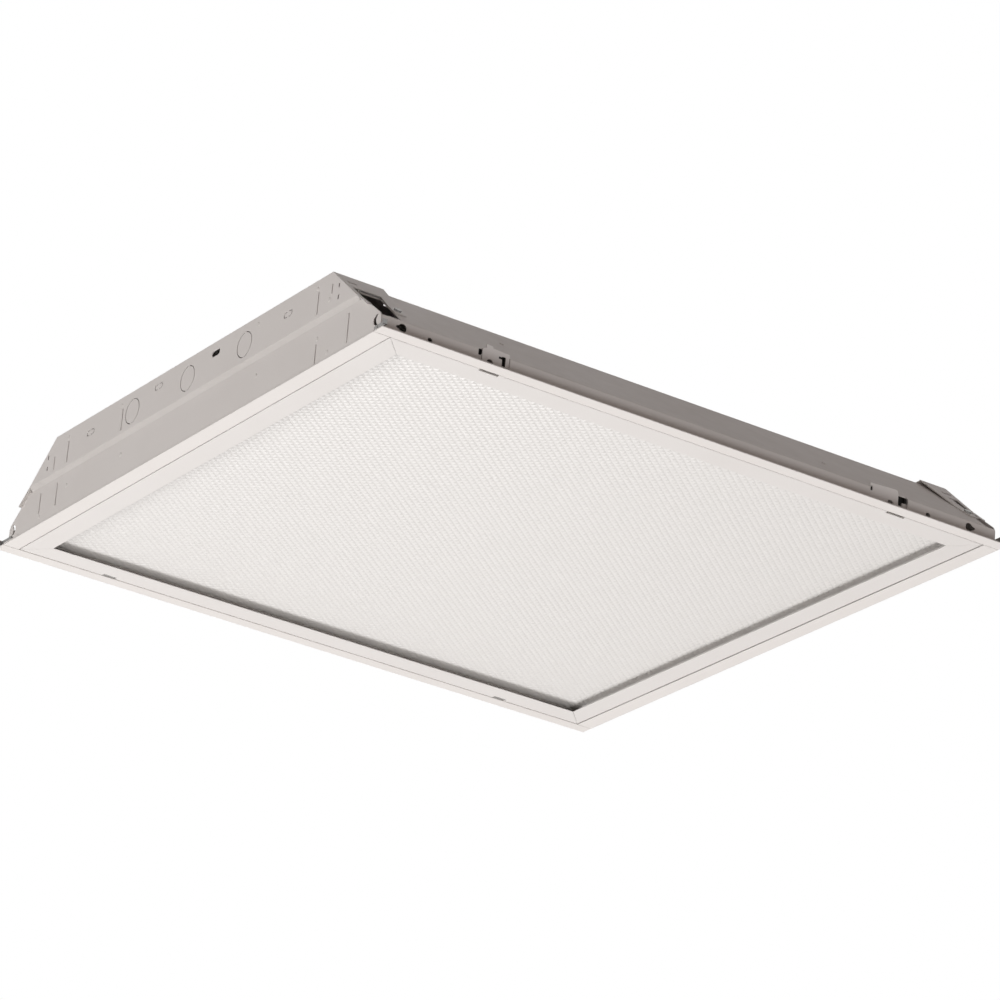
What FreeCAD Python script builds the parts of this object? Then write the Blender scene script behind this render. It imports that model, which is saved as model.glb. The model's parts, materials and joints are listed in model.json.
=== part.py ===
import FreeCAD, Part
import os
import re

import Sketcher

os.makedirs("parts", exist_ok=True)

# A recessed troffer light for a 24 inch ceiling grid, in millimetres.
# +Z is up, z = 0 is the ceiling plane, where the rim's underside and the door's face lie.
# The latches are on the -Y side and the hinges on the +Y side. The origin is the centre.

SIZES = {
    # outline and rim
    "outline_x": 603.25,
    "outline_y": 603.25,
    "side_flange": 12.3,
    "end_flange": 14.6,
    "rim_joint": 0.5,
    # housing pan
    "pan_sheet": 0.8,
    "wall_height": 15.9,
    "pan_top": 73.5,
    "top_setback": 75.125,
    "pan_inset": 12.1,
    "bend_radius": 1.5,
    "end_tab_width": 12,
    "slope_mark_radius": 2,
    # end plates
    "end_sheet": 0.8,
    "end_top": 76.2,
    "crown_gap": 2,
    "shoulder_setback": 34,
    "edge_radius": 8,
    "upper_setback": 1.6,
    "lower_setback": 4.8,
    "joggle_height": 3.5,
    "return_long": 46,
    "return_short": 27,
    "top_return_depth": 26,
    "leg_width": 11,
    "leg_lean": 10,
    "leg_end_setback": 18,
    "return_relief_setback": 51,
    "relief_rim": 0.6,
    "tab_foot": 12,
    "return_slot_length": 9,
    "return_slot_width": 2.6,
    # features pressed and pierced in the end plates
    "knockout_radius": 11.1,
    "knockout_pitch": 88,
    "knockout_height": 58,
    "score_width": 0.6,
    "tie_width": 2.4,
    "slot_length": 12,
    "slot_width": 5,
    "slit_height": 4,
    "slit_width": 1.4,
    "slit_half": 228,
    "slit_low": 51,
    "slit_high": 61,
    "dimple_radius": 2.4,
    "dimple_height": 0.6,
    "rib_width": 2.4,
    "rib_height": 0.5,
    "crescent_setback": 6.1,
    "crescent_height": 13.2,
    "crescent_radius": 4.6,
    # door frame and lens
    "door_gap_x": 1,
    "door_gap_y": 1,
    "door_sheet": 0.8,
    "door_depth": 12,
    "opening_x": 532.4,
    "opening_y": 532.4,
    "lens_seat": 7.2,
    "ledge_width": 12,
    "lens_gap": 1,
    "rail_edge_radius": 0.9,
    "rail_lip_radius": 0.3,
    "lens_sheet": 3,
    "mitre_gap": 0.18,
    "key_arm": 42,
    "key_setback": 7,
    "key_sheet": 1.5,
    "clip_strip": 12,
    "clip_reach": 9,
    "clip_sheet": 0.6,
    "lens_clip_place": 100,
    "finger_slit_left": 195.5,
    "finger_slit_right": 197.5,
    "finger_slit_length": 18,
    "finger_slit_width": 2.8,
    # latches
    "latch_sheet": 0.7,
    "latch_gap": 0.2,
    "latch_foot": 4,
    "latch_top": 19.6,
    "latch_left_inner": 179.2,
    "latch_left_outer": 204,
    "latch_left_travel": 4,
    "latch_right_inner": 169.6,
    "latch_right_outer": 198,
    "latch_right_travel": 9,
    "latch_lap": 4,
    "latch_corner": 3,
    "ear_place": 3.3,
    "ear_width": 6,
    "ear_foot": 0.6,
    "ear_height": 2.4,
    "notch_place": 7.5,
    "notch_height": 3.6,
    "notch_radius": 3,
    "grip_place": 5,
    "grip_width": 3.4,
    "grip_low": 2,
    "grip_high": 12.4,
    "grip_flag": 3,
    "grip_foot_width": 7.6,
    "hook_width": 4,
    "hook_depth": 2.4,
    "latch_lift": 0.3,
    "cutout_foot": 3,
    "cutout_depth": 3.6,
    "cutout_top": 20,
    "cutout_gap": 0.2,
    "guide_depth": 6,
    "guide_reach": 6.3,
    "guide_floor": 1.4,
    "guide_gap": 0.1,
    # hinges
    "hinge_place": 200,
    "hinge_width": 12,
    "hinge_knuckle": 8,
    "hinge_gap": 0.3,
    "hinge_setback": 2.3,
    "hinge_height": 2.2,
    "pin_radius": 1,
    "pin_gap": 0.05,
    "knuckle_wall": 0.75,
    "leaf_sheet": 0.6,
    "leaf_top": 13,
    "hinge_notch": 8,
    "hinge_rivet_radius": 1.2,
    # grid clips
    "clip_pivot_setback": 4.625,
    "clip_pivot_height": 5.6,
    "grid_clip_reach": 15,
    "grid_clip_height": 4,
    "grid_clip_sheet": 1,
    "grid_clip_tab": 3,
    "clip_rivet_radius": 1.3,
    "clip_gap": 0.05,
    # light source and supply inside
    "board_length": 540,
    "board_width": 22,
    "board_sheet": 1.6,
    "board_inner": 95,
    "board_outer": 165,
    "led_length": 3,
    "led_height": 0.7,
    "led_pitch": 22,
    "led_count": 24,
    "connector_length": 8,
    "connector_width": 7,
    "connector_height": 4,
    "wire_radius": 0.7,
    "wire_spacing": 2.5,
    "driver_length": 300,
    "driver_width": 36,
    "driver_height": 22,
    "driver_foot": 12,
    "cover_half": 29,
    "cover_floor_half": 24,
    "cover_drop": 27,
    "cover_flange": 8,
    "cover_sheet": 0.7,
    "cover_end_gap": 6,
    "access_gap": 8,
    "access_setback": 31.625,
    "access_width": 52,
    "access_lap": 10,
    "access_sheet": 0.9,
    # fasteners and hanger holes
    "screw_radius": 1.6,
    "screw_head_radius": 3.1,
    "screw_head_height": 1.5,
    "screw_tip": 3,
    "driver_slot": 0.8,
    "hanger_x": 480,
    "hanger_y": 400,
    "hanger_radius": 2.8,
    "wall_hole_radius": 2.15,
    "wall_hole_height": 8.3,
    "wall_hole_left": 252,
    "wall_hole_right": 228,
    "keyhole_radius": 3.6,
    "keyhole_tail": 6,
    "keyhole_height": 10.4,
    "keyhole_left": 277,
    "keyhole_right": 270,
    "hole_clearance": 8,
}

doc = FreeCAD.newDocument("recessed_troffer")
sheet = doc.addObject("Spreadsheet::Sheet", "Sizes")
sheet.Label = "driving dimensions"
for row, (name, number) in enumerate(SIZES.items(), start=1):
    sheet.set(f"A{row}", name)
    sheet.set(f"B{row}", str(number))
    sheet.setAlias(f"B{row}", name)
reader = doc.addObject("App::FeaturePython", "Reader")
doc.recompute()


# ---------------------------------------------------------------- small helpers
# places that several pieces share, worked out from the sizes
PLACES = {
    "shoulder_half": "outline_y / 2 - side_flange + pan_sheet - shoulder_setback",
    "leg_end_half": "outline_y / 2 - side_flange + pan_sheet - leg_end_setback",
    "relief_half": "outline_y / 2 - side_flange + pan_sheet - return_relief_setback",
    "top_half": "outline_y / 2 - side_flange + pan_sheet - top_setback",
    "crown_half": "top_half + crown_gap",
    "clip_pivot_half": "outline_y / 2 - side_flange + pan_sheet - clip_pivot_setback",
    "access_near": "driver_length / 2 + driver_foot + access_gap - access_lap",
    "access_far": "outline_x / 2 - access_setback",
    "access_length": "access_far - access_near",
    "access_place": "(access_near + access_far) / 2",
}


def link(expression):
    """The expression with each size as a reference to its cell, and each shared place written out."""
    def word(match):
        name = match[0]
        if name in SIZES:
            return f"Sizes.{name}"
        return f"({link(PLACES[name])})" if name in PLACES else name
    return re.sub(r"[a-z_]+", word, str(expression))


def value(expression):
    return float(reader.evalExpression(link(expression)))


def bind(item, prop, expression):
    item.setExpression(prop, link(expression))


def bind_base(item, x, y, z):
    for axis, expression in zip("xyz", (x, y, z)):
        bind(item, f"Placement.Base.{axis}", expression)


def box(name, x, y, z):
    """A block between a low and a high expression on each axis."""
    block = doc.addObject("Part::Box", name)
    for prop, (low, high) in zip(("Length", "Width", "Height"), (x, y, z)):
        bind(block, prop, f"({high}) - ({low})")
    bind_base(block, x[0], y[0], z[0])
    return block


def mirrored(pair):
    """A low and high pair reflected through zero."""
    return (f"-({pair[1]})", f"-({pair[0]})")


def on_side(sign, pair):
    return pair if sign > 0 else mirrored(pair)


TURN_TO_AXIS = {
    "x": FreeCAD.Rotation(FreeCAD.Vector(0, 1, 0), 90),
    "y": FreeCAD.Rotation(FreeCAD.Vector(1, 0, 0), -90),
    "z": FreeCAD.Rotation(),
}


def rod(name, axis, low, high, centre, radius):
    """A cylinder along an axis; centre holds the two other coordinates in XYZ order."""
    cylinder = doc.addObject("Part::Cylinder", name)
    cylinder.Placement = FreeCAD.Placement(FreeCAD.Vector(), TURN_TO_AXIS[axis])
    bind(cylinder, "Radius", radius)
    bind(cylinder, "Height", f"({high}) - ({low})")
    place = list(centre)
    place.insert("xyz".index(axis), low)
    bind_base(cylinder, *place)
    return cylinder


def fuse(name, shapes):
    fusion = doc.addObject("Part::MultiFuse", name)
    fusion.Shapes = shapes
    fusion.Refine = True
    return fusion


def common(name, shapes):
    overlap = doc.addObject("Part::MultiCommon", name)
    overlap.Shapes = shapes
    return overlap


def cut(name, base, tools):
    result = doc.addObject("Part::Cut", name)
    result.Base = base
    result.Tool = tools[0] if len(tools) == 1 else fuse(name + "_tools", tools)
    return result


def group(name, members):
    compound = doc.addObject("Part::Compound", name)
    compound.Links = members
    return compound


def prism(name, plane, low, high, points, rounded=None):
    """An outline drawn on an origin plane and padded along that plane's axis.

    rounded gives, for each fillet radius, the numbers of the outline's corners that get it.
    """
    body = doc.addObject("PartDesign::Body", name)
    sketch = body.newObject("Sketcher::SketchObject", name + "_outline")
    origin_plane = next(f for f in body.Origin.OriginFeatures if f.Role == plane + "_Plane")
    sketch.AttachmentSupport = [(origin_plane, "")]
    sketch.MapMode = "FlatFace"
    # the XZ plane's normal points to -Y, so its pad runs down from the high end
    bind(sketch, "AttachmentOffset.Base.z", f"-({high})" if plane == "XZ" else low)
    corners = [FreeCAD.Vector(value(u), value(w), 0) for u, w in points]
    for corner, following in zip(corners, corners[1:] + corners[:1]):
        sketch.addGeometry(Part.LineSegment(corner, following), False)
    for index in range(len(corners)):
        following = (index + 1) % len(corners)
        sketch.addConstraint(Sketcher.Constraint("Coincident", index, 2, following, 1))
    for index, (u, w) in enumerate(points):
        for kind, expression in (("DistanceX", u), ("DistanceY", w)):
            rule = Sketcher.Constraint(kind, -1, 1, index, 1, value(expression))
            number = sketch.addConstraint(rule)
            bind(sketch, f"Constraints[{number}]", expression)
    pad = body.newObject("PartDesign::Pad", name + "_pad")
    pad.Profile = sketch
    bind(pad, "Length", f"({high}) - ({low})")
    solid = pad
    for step, (radius, places) in enumerate((rounded or {}).items(), start=1):
        doc.recompute()
        fillet = body.newObject("PartDesign::Fillet", f"{name}_fillet_{step}")
        fillet.Base = (solid, edges_at(solid, plane, [corners[index] for index in places]))
        bind(fillet, "Radius", radius)
        solid = fillet
    return body


def edges_at(solid, plane, corners):
    """Names of the solid's edges that stand on the given sketch corners."""
    first, second = {"XY": (0, 1), "XZ": (0, 2), "YZ": (1, 2)}[plane]
    names = []
    for number, edge in enumerate(solid.Shape.Edges, start=1):
        ends = [vertex.Point for vertex in edge.Vertexes]
        for corner in corners:
            if all(abs(p[first] - corner.x) + abs(p[second] - corner.y) < 1e-4 for p in ends):
                names.append(f"Edge{number}")
    return names


# ---------------------------------------------------------------- shared places
half_x = "outline_x / 2"
half_y = "outline_y / 2"
wall_in = f"({half_y} - side_flange)"
wall_out = f"({wall_in} + pan_sheet)"
pan_end = f"({half_x} - pan_inset)"
pan_under = "(pan_top - pan_sheet)"
slope_angle = f"atan((pan_top - wall_height) / ({wall_out} - top_half))"
wall_in_top = f"(wall_height - pan_sheet * tan((90 deg - {slope_angle}) / 2))"

upper_face = f"({half_x} - upper_setback)"
lower_face = f"({half_x} - lower_setback)"
lower_back = f"({lower_face} - end_sheet)"
door_x = f"({half_x} - end_flange - door_gap_x)"
door_y = f"({wall_in} - door_gap_y)"
open_x = "(opening_x / 2)"
open_y = "(opening_y / 2)"
lens_top = "(lens_seat + lens_sheet)"
latch_back = f"({door_y} + latch_gap)"
latch_front = f"({latch_back} + latch_sheet)"
tongue_low = "(door_depth + latch_lift)"
board_under = f"({pan_under} - board_sheet)"


def slope_z(y):
    """Height of the slope's outer face at a distance y from the middle."""
    return f"(wall_height + ({wall_out} - ({y})) * tan({slope_angle}))"


def slope_under_z(y):
    return f"({wall_in_top} + ({wall_in} - ({y})) * tan({slope_angle}))"


def lead(y, kind):
    """The inner edge of a long or short return and its leg, which leans outwards down the slope."""
    return f"({upper_face} - return_{kind} + leg_lean * (({y}) - crown_half) / (leg_end_half - crown_half))"


def return_kind(sign, flank):
    """Each end plate has one long and one short return, and is turned half round at the far end."""
    return "long" if sign * flank > 0 else "short"


shoulder_z = f"({slope_z('shoulder_half')} + end_sheet / cos({slope_angle}))"
return_angle = f"atan((end_top - {shoulder_z}) / (shoulder_half - crown_half))"
joggle_low = f"({shoulder_z} - joggle_height)"

MITRE = f"(({slope_angle} + {return_angle}) / 2)"
MITRE_REACH = f"(end_sheet / cos(({return_angle} - {slope_angle}) / 2))"
shoulder_in = (f"(shoulder_half - {MITRE_REACH} * sin({MITRE}))",
               f"({shoulder_z} - {MITRE_REACH} * cos({MITRE}))")
crown_in = (f"(crown_half - end_sheet * tan({return_angle} / 2))", "(end_top - end_sheet)")


# ---------------------------------------------------------------- fasteners
def screw(name, x, y, seat, tip, sign=1):
    """A pan head screw along Z; sign is +1 where the head is above its seat."""
    crown = f"{seat} + {sign} * screw_head_height"
    low, high = (seat, crown) if sign > 0 else (crown, seat)
    head = rod(name + "_head", "z", low, high, (x, y), "screw_head_radius")
    low, high = (tip, seat) if sign > 0 else (seat, tip)
    shank = rod(name + "_shank", "z", low, high, (x, y), "screw_radius")
    slot_low, slot_high = (f"{crown} - screw_head_height / 2", f"{crown} + 1")
    if sign < 0:
        slot_low, slot_high = (f"{crown} - 1", f"{crown} + screw_head_height / 2")
    arm = "(screw_head_radius * 0.6)"
    thin = "(driver_slot / 2)"
    slots = [box(f"{name}_slot_{turn}", (f"{x} - {a}", f"{x} + {a}"), (f"{y} - {b}", f"{y} + {b}"),
                 (slot_low, slot_high))
             for turn, (a, b) in enumerate(((arm, thin), (thin, arm)))]
    return cut(name, fuse(name + "_blank", [head, shank]), slots)


def hole(name, x, y, low, high, radius="screw_radius"):
    return rod(name, "z", low, high, (x, y), radius)


# ---------------------------------------------------------------- housing pan
def build_pan():
    section = [
        (f"-{wall_out}", "0"), (f"-{wall_out}", "wall_height"), ("-top_half", "pan_top"),
        ("top_half", "pan_top"), (wall_out, "wall_height"), (wall_out, "0"),
        (wall_in, "0"), (wall_in, wall_in_top),
        (f"top_half - pan_sheet * tan({slope_angle} / 2)", pan_under),
        (f"-(top_half - pan_sheet * tan({slope_angle} / 2))", pan_under),
        (f"-{wall_in}", wall_in_top), (f"-{wall_in}", "0"),
    ]
    pieces = [prism("pan_skin", "YZ", f"-{pan_end}", pan_end, section,
                    rounded={"bend_radius": (1, 2, 3, 4), "bend_radius - pan_sheet": (7, 8, 9, 10)})]
    for sign, side in ((-1, "latch"), (1, "hinge")):
        pieces.append(box(f"pan_flange_{side}", (f"-{half_x}", half_x),
                          on_side(sign, (wall_in, half_y)), ("0", "pan_sheet")))
    lip = [shoulder_in, crown_in, (f"-{crown_in[0]}", crown_in[1]),
           (f"-{shoulder_in[0]}", shoulder_in[1]),
           ("-top_half", "pan_top - pan_sheet / 2"), ("top_half", "pan_top - pan_sheet / 2")]
    for sign, end in ((-1, "near"), (1, "far")):
        low, high = on_side(sign, (f"{pan_end} - pan_sheet", pan_end))
        pieces.append(prism(f"pan_lip_{end}", "YZ", low, high, lip))
        for flank, side in ((-1, "latch"), (1, "hinge")):
            pieces.append(end_tab(f"pan_tab_{end}_{side}", sign, flank))
            pieces.append(box(f"pan_wall_end_{end}_{side}", on_side(sign, (f"{pan_end} - 1", lower_back)),
                              on_side(flank, (wall_in, wall_out)), ("0", "wall_height")))
    for index, (x, y) in enumerate(SLOPE_MARKS):
        pieces.append(slope_rod(f"slope_mark_{index}", x, y, -1, "slope_mark_radius", "-pan_sheet / 2",
                                "dimple_height"))
    return cut("housing_pan", fuse("pan_blank", pieces), pan_holes())


def end_tab(name, sign, flank):
    """A tab under the slope's end that reaches the end plate and hangs down behind it."""
    outer = "(relief_half - 2)"
    inner = f"({outer} - end_tab_width)"
    foot = f"({joggle_low} - tab_foot)"
    strip = [(f"{flank} * {y}", f"{z} - {drop}") for y, z, drop in (
        (inner, slope_under_z(inner), "0"), (outer, slope_under_z(outer), "0"),
        (outer, slope_under_z(outer), "pan_sheet"), (inner, slope_under_z(inner), "pan_sheet"))]
    low, high = on_side(sign, (f"{pan_end} - 8", lower_back))
    shelf = prism(name + "_shelf", "YZ", low, high, strip)
    face = [(f"{flank} * {y}", z) for y, z in (
        (inner, slope_under_z(inner)), (outer, slope_under_z(outer)),
        (outer, foot), (inner, foot))]
    low, high = on_side(sign, (f"{lower_back} - pan_sheet", lower_back))
    return fuse(name, [shelf, prism(name + "_face", "YZ", low, high, face)])


def pan_holes():
    through = (f"{pan_under} - 2", "pan_top + 2")
    tools = []
    for sign_x in (-1, 1):
        for sign_y in (-1, 1):
            tools.append(hole(f"hanger_hole_{sign_x + 1}_{sign_y + 1}", f"{sign_x} * hanger_x / 2",
                              f"{sign_y} * hanger_y / 2", *through, "hanger_radius"))
    tools.append(box("access_hole", ("access_place - access_length / 2 + access_lap",
                                     "access_place + access_length / 2 - access_lap"),
                     ("-(access_width / 2 - access_lap)", "access_width / 2 - access_lap"), through))
    for name, x, y in TOP_SCREWS:
        tools.append(hole(f"{name}_pan_hole", x, y, *through))
    for side, sign, inner, outer, travel in LATCHES:
        x = on_side(sign, (f"{inner} - cutout_gap", f"{outer} + {travel} + cutout_gap"))
        tools.append(box(f"cutout_{side}", x, (f"-{wall_out} - 1", f"-{wall_out} + cutout_depth"),
                         ("cutout_foot", "cutout_top")))
    for sign, place in ((-1, "wall_hole_left"), (1, "wall_hole_right")):
        for flank in (-1, 1):
            low, high = on_side(flank, (f"{wall_in} - 1", f"{wall_out} + 1"))
            tools.append(rod(f"{place}_{flank + 1}", "y", low, high,
                             (f"{sign} * {place}", "wall_hole_height"), "wall_hole_radius"))
    for sign, place in ((-1, "keyhole_left"), (1, "keyhole_right")):
        tools += keyhole(sign, place)
    for index, (x, y) in enumerate(HINGE_RIVETS):
        tools.append(rod(f"hinge_rivet_hole_{index}", "y", f"{wall_in} - 1", f"{wall_out} + 1",
                         (x, y), "hinge_rivet_radius"))
    for index, (sign, flank) in enumerate(CORNERS):
        tools.append(leg_rod(f"leg_hole_{index}", sign, flank, "screw_radius", "-2", "2"))
        kind = return_kind(sign, flank)
        end = f"({wall_out} + 1)"
        beside = [("relief_half", f"{lead('relief_half', kind)} + leg_width"), ("relief_half", half_x),
                  (end, half_x), (end, f"{lead(end, kind)} + leg_width")]
        tools.append(prism(f"slope_relief_{index}", "XY", "wall_height + bend_radius", "pan_top + 1",
                           [(f"{sign} * ({x})", f"{flank} * {y}") for y, x in beside]))
    return tools


def keyhole(sign, place):
    """A round hole whose tail narrows towards the near end of the wall."""
    y = (f"-{wall_out} - 1", f"-{wall_in} + 1")
    x = f"({sign} * {place})"
    tail = [(x, "keyhole_height + keyhole_radius * 0.85"), (x, "keyhole_height - keyhole_radius * 0.85"),
            (f"{x} + {sign} * keyhole_tail", "keyhole_height - 0.8"),
            (f"{x} + {sign} * keyhole_tail", "keyhole_height + 0.8")]
    return [rod(f"{place}_round", "y", *y, (x, "keyhole_height"), "keyhole_radius"),
            prism(f"{place}_tail", "XZ", *y, tail)]


def leg_rod(name, sign, flank, radius, low, high):
    """A slope rod on the middle of an end plate's leg."""
    y = "((shoulder_half + leg_end_half) / 2)"
    x = f"{sign} * ({lead(y, return_kind(sign, flank))} + leg_width / 2)"
    return slope_rod(name, x, y, flank, radius, low, high)


def slope_rod(name, x, y, flank, radius, low, high):
    """A cylinder square to the slope; its low and high ends count from the pan's outer face."""
    cylinder = doc.addObject("Part::Cylinder", name)
    turn = FreeCAD.Rotation(FreeCAD.Vector(-flank, 0, 0), 30)
    cylinder.Placement = FreeCAD.Placement(FreeCAD.Vector(), turn)
    bind(cylinder, "Placement.Rotation.Angle", slope_angle)
    bind(cylinder, "Radius", radius)
    bind(cylinder, "Height", f"({high}) - ({low})")
    bind_base(cylinder, x, f"{flank} * ({y} + ({low}) * sin({slope_angle}))",
              f"{slope_z(y)} + ({low}) * cos({slope_angle})")
    return cylinder


# dimples pressed in the latch side's slope, as X and the distance from the middle
SLOPE_MARKS = [("-161", "246.5"), ("139", "266.5")]
CORNERS = [(-1, -1), (1, -1), (1, 1), (-1, 1)]
LATCHES = [("left", -1, "latch_left_inner", "latch_left_outer", "latch_left_travel"),
           ("right", 1, "latch_right_inner", "latch_right_outer", "latch_right_travel")]
HINGES = [("left", -1), ("right", 1)]
HINGE_RIVETS = [(f"{sign} * hinge_place + {flank} * hinge_width / 4", "leaf_top - 3")
                for _, sign in HINGES for flank in (-1, 1)]

BOARDS = ["-board_outer", "-board_inner", "board_inner", "board_outer"]
BOARD_SCREWS = [(f"board_screw_{row}_{spot + 1}", f"{spot} * (board_length / 2 - 11)", y)
                for row, y in enumerate(BOARDS) for spot in (-1, 0, 1)]
COVER_SCREWS = [(f"cover_screw_{spot + 1}_{flank + 1}", f"{spot} * (board_length / 2 - 20)",
                 f"{flank} * (cover_half + cover_flange / 2)")
                for spot in (-1, 0, 1) for flank in (-1, 1)]
DRIVER_SCREWS = [(f"driver_screw_{flank + 1}", f"{flank} * (driver_length / 2 + driver_foot / 2)", "0")
                 for flank in (-1, 1)]
GROUND_SCREWS = [("ground_screw_part", "-(driver_length / 2 + driver_foot + 14)", "0")]
ACCESS_SCREWS = [(f"access_screw_{flank + 1}",
                  f"access_place + {flank} * (access_length - access_lap) / 2", "0")
                 for flank in (-1, 1)]
TOP_SCREWS = BOARD_SCREWS + COVER_SCREWS + DRIVER_SCREWS + GROUND_SCREWS + ACCESS_SCREWS


# ---------------------------------------------------------------- end plates
def ring(name, y, z, radius, length="0"):
    """Tools that score a round or long knockout, with two ties left standing."""
    y, z = f"({y})", f"({z})"
    depth = (f"-{upper_face} - 1", f"-{upper_face} + end_sheet + 1")
    outer = long_hole(name + "_outer", depth, y, z, radius, length)
    inner_length = "0" if length == "0" else f"({length} - 2 * score_width)"
    inner = long_hole(name + "_inner", depth, y, z, f"({radius} - score_width)", inner_length)
    ties = box(name + "_ties", depth, (f"{y} - tie_width / 2", f"{y} + tie_width / 2"),
               (f"{z} - {radius} - 1", f"{z} + {radius} + 1"))
    return cut(name, outer, [inner, ties])


def long_hole(name, depth, y, z, radius, length):
    """A round rod, or an obround bar where length is not zero, along X."""
    if length == "0":
        return rod(name, "x", *depth, (y, z), radius)
    straight = f"(({length}) / 2 - {radius})"
    ends = [rod(f"{name}_end_{sign + 1}", "x", *depth, (f"{y} + {sign} * {straight}", z), radius)
            for sign in (-1, 1)]
    middle = box(name + "_middle", depth, (f"{y} - {straight}", f"{y} + {straight}"),
                 (f"{z} - {radius}", f"{z} + {radius}"))
    return fuse(name, ends + [middle])


def upright(name, y, low, high, face, width, depth):
    """A thin upright block on a face of the near end plate; depth runs outwards."""
    return box(name, (f"-{face} - {depth[1]}", f"-{face} - {depth[0]}"),
               (f"{y} - {width} / 2", f"{y} + {width} / 2"), (low, high))


def dimple(name, y, z, face):
    cone = doc.addObject("Part::Cone", name)
    cone.Placement = FreeCAD.Placement(FreeCAD.Vector(), FreeCAD.Rotation(FreeCAD.Vector(0, 1, 0), -90))
    bind(cone, "Radius1", "dimple_radius")
    bind(cone, "Radius2", "dimple_radius / 2")
    bind(cone, "Height", "dimple_height + end_sheet / 2")
    bind_base(cone, f"-{face} + end_sheet / 2", y, z)
    return cone


def end_plate_blank(tag):
    upper = [("-crown_half", "end_top"), ("crown_half", "end_top"),
             ("shoulder_half", shoulder_z), ("-shoulder_half", shoulder_z)]
    corner = f"{slope_z(wall_out)} + end_sheet / cos({slope_angle})"
    neck = f"(shoulder_half + joggle_height / tan({slope_angle}))"
    lower = [(f"-{wall_out}", "0"), (f"-{wall_out}", corner), (f"-{neck}", joggle_low),
             (neck, joggle_low), (wall_out, corner), (wall_out, "0")]
    joggle = [(f"-{lower_back}", joggle_low), (f"-{lower_face}", joggle_low),
              (f"-{upper_face}", shoulder_z), (f"-{upper_face} + end_sheet", shoulder_z)]
    lower_plate = prism(f"{tag}_lower", "YZ", f"-{lower_face}", f"-{lower_back}", lower,
                        rounded={"edge_radius": (1, 4)})
    flange_y = (f"-({wall_in} - rim_joint)", f"{wall_in} - rim_joint")
    return [
        prism(f"{tag}_upper", "YZ", f"-{upper_face}", f"-{upper_face} + end_sheet", upper),
        cut(f"{tag}_lower_trimmed", lower_plate, rim_reliefs(tag)),
        prism(f"{tag}_joggle", "XZ", "-shoulder_half", "shoulder_half", joggle),
        box(f"{tag}_flange", (f"-{half_x}", f"-({half_x} - end_flange)"), flange_y, ("0", "end_sheet")),
        box(f"{tag}_hem", (f"-{half_x}", f"-{lower_back}"), flange_y, ("end_sheet", "2 * end_sheet")),
        prism(f"{tag}_top_return", "YZ", f"-{upper_face}", f"-{upper_face} + top_return_depth",
              [("-crown_half", "end_top"), ("crown_half", "end_top"), crown_in,
               (f"-{crown_in[0]}", crown_in[1])]),
    ]


def rim_reliefs(tag):
    """The lower plate stands on the side flanges, so its outer feet are cut short there."""
    return [box(f"{tag}_relief_{flank + 1}", (f"-{half_x}", f"-{lower_back} + 1"),
                on_side(flank, (f"{wall_in} - rim_joint", f"{wall_out} + 1")),
                ("-1", "pan_sheet + rim_joint")) for flank in (-1, 1)]


def end_returns(tag):
    """The sloped returns with their legs, which lie on the pan's slopes."""
    leg_top = f"({slope_z('leg_end_half')})"
    lift = f"end_sheet / cos({slope_angle})"
    outline = [("crown_half", "end_top"), ("shoulder_half", shoulder_z), shoulder_in, crown_in]
    leg = [("shoulder_half", shoulder_z), ("leg_end_half", f"{leg_top} + {lift}"),
           ("leg_end_half", leg_top), shoulder_in]
    # seen from above: the lean of the inner edge, and a gap between the leg and the plate
    start, end = "(crown_half - 5)", "(leg_end_half + 1)"
    run = (f"-{upper_face}", f"-({upper_face} - return_long - leg_lean)")
    pieces = []
    for flank in (-1, 1):
        kind = return_kind(-1, flank)
        plan = [(upper_face, start), (lead(start, kind), start), (lead(end, kind), end),
                (f"({lead(end, kind)} + leg_width)", end),
                (f"({lead('relief_half', kind)} + leg_width)", "relief_half"),
                (f"({lower_back} - relief_rim)", "relief_half"), (f"({lower_back} - relief_rim)", end),
                (upper_face, end)]
        name = f"{tag}_return_{flank + 1}"
        strips = [prism(f"{name}_{part}", "YZ", *run, [(f"{flank} * {u}", w) for u, w in points])
                  for part, points in (("slope", outline), ("leg", leg))]
        shape = prism(name + "_plan", "XY", "0", "end_top + 1",
                      [(f"-{x}", f"{flank} * {y}") for x, y in plan])
        pieces.append(common(name, [fuse(name + "_strips", strips), shape]))
    return pieces


def end_marks(tag):
    """Raised dimples and ribs on the outer faces."""
    marks = []
    for index, (y, z) in enumerate(((107, 69), (-107, 69), (195, 69), (-195, 69), (-215, 53))):
        marks.append(dimple(f"{tag}_dimple_{index}", y, z, upper_face))
    for index, (y, z) in enumerate(((196, 27), (-196, 27), (106, 26), (-106, 26), (-213, 10), (239, 11))):
        marks.append(dimple(f"{tag}_low_dimple_{index}", y, z, lower_face))
    ribs = [(195, 46, 65), (217, 46, 58), (105, 46, 65), (-197, 46, 65), (-217, 57, 65)]
    for index, (y, low, high) in enumerate(ribs):
        marks.append(upright(f"{tag}_rib_{index}", y, low, high, upper_face, "rib_width",
                             ("(0 - end_sheet / 2)", "rib_height")))
    for index, (y, low, high) in enumerate(((241, 15, 33), (-241, 8, 33), (213, 14, 34), (-195, 6, 22))):
        marks.append(upright(f"{tag}_low_rib_{index}", y, low, high, lower_face, "rib_width",
                             ("(0 - end_sheet / 2)", "rib_height")))
    return marks


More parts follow.
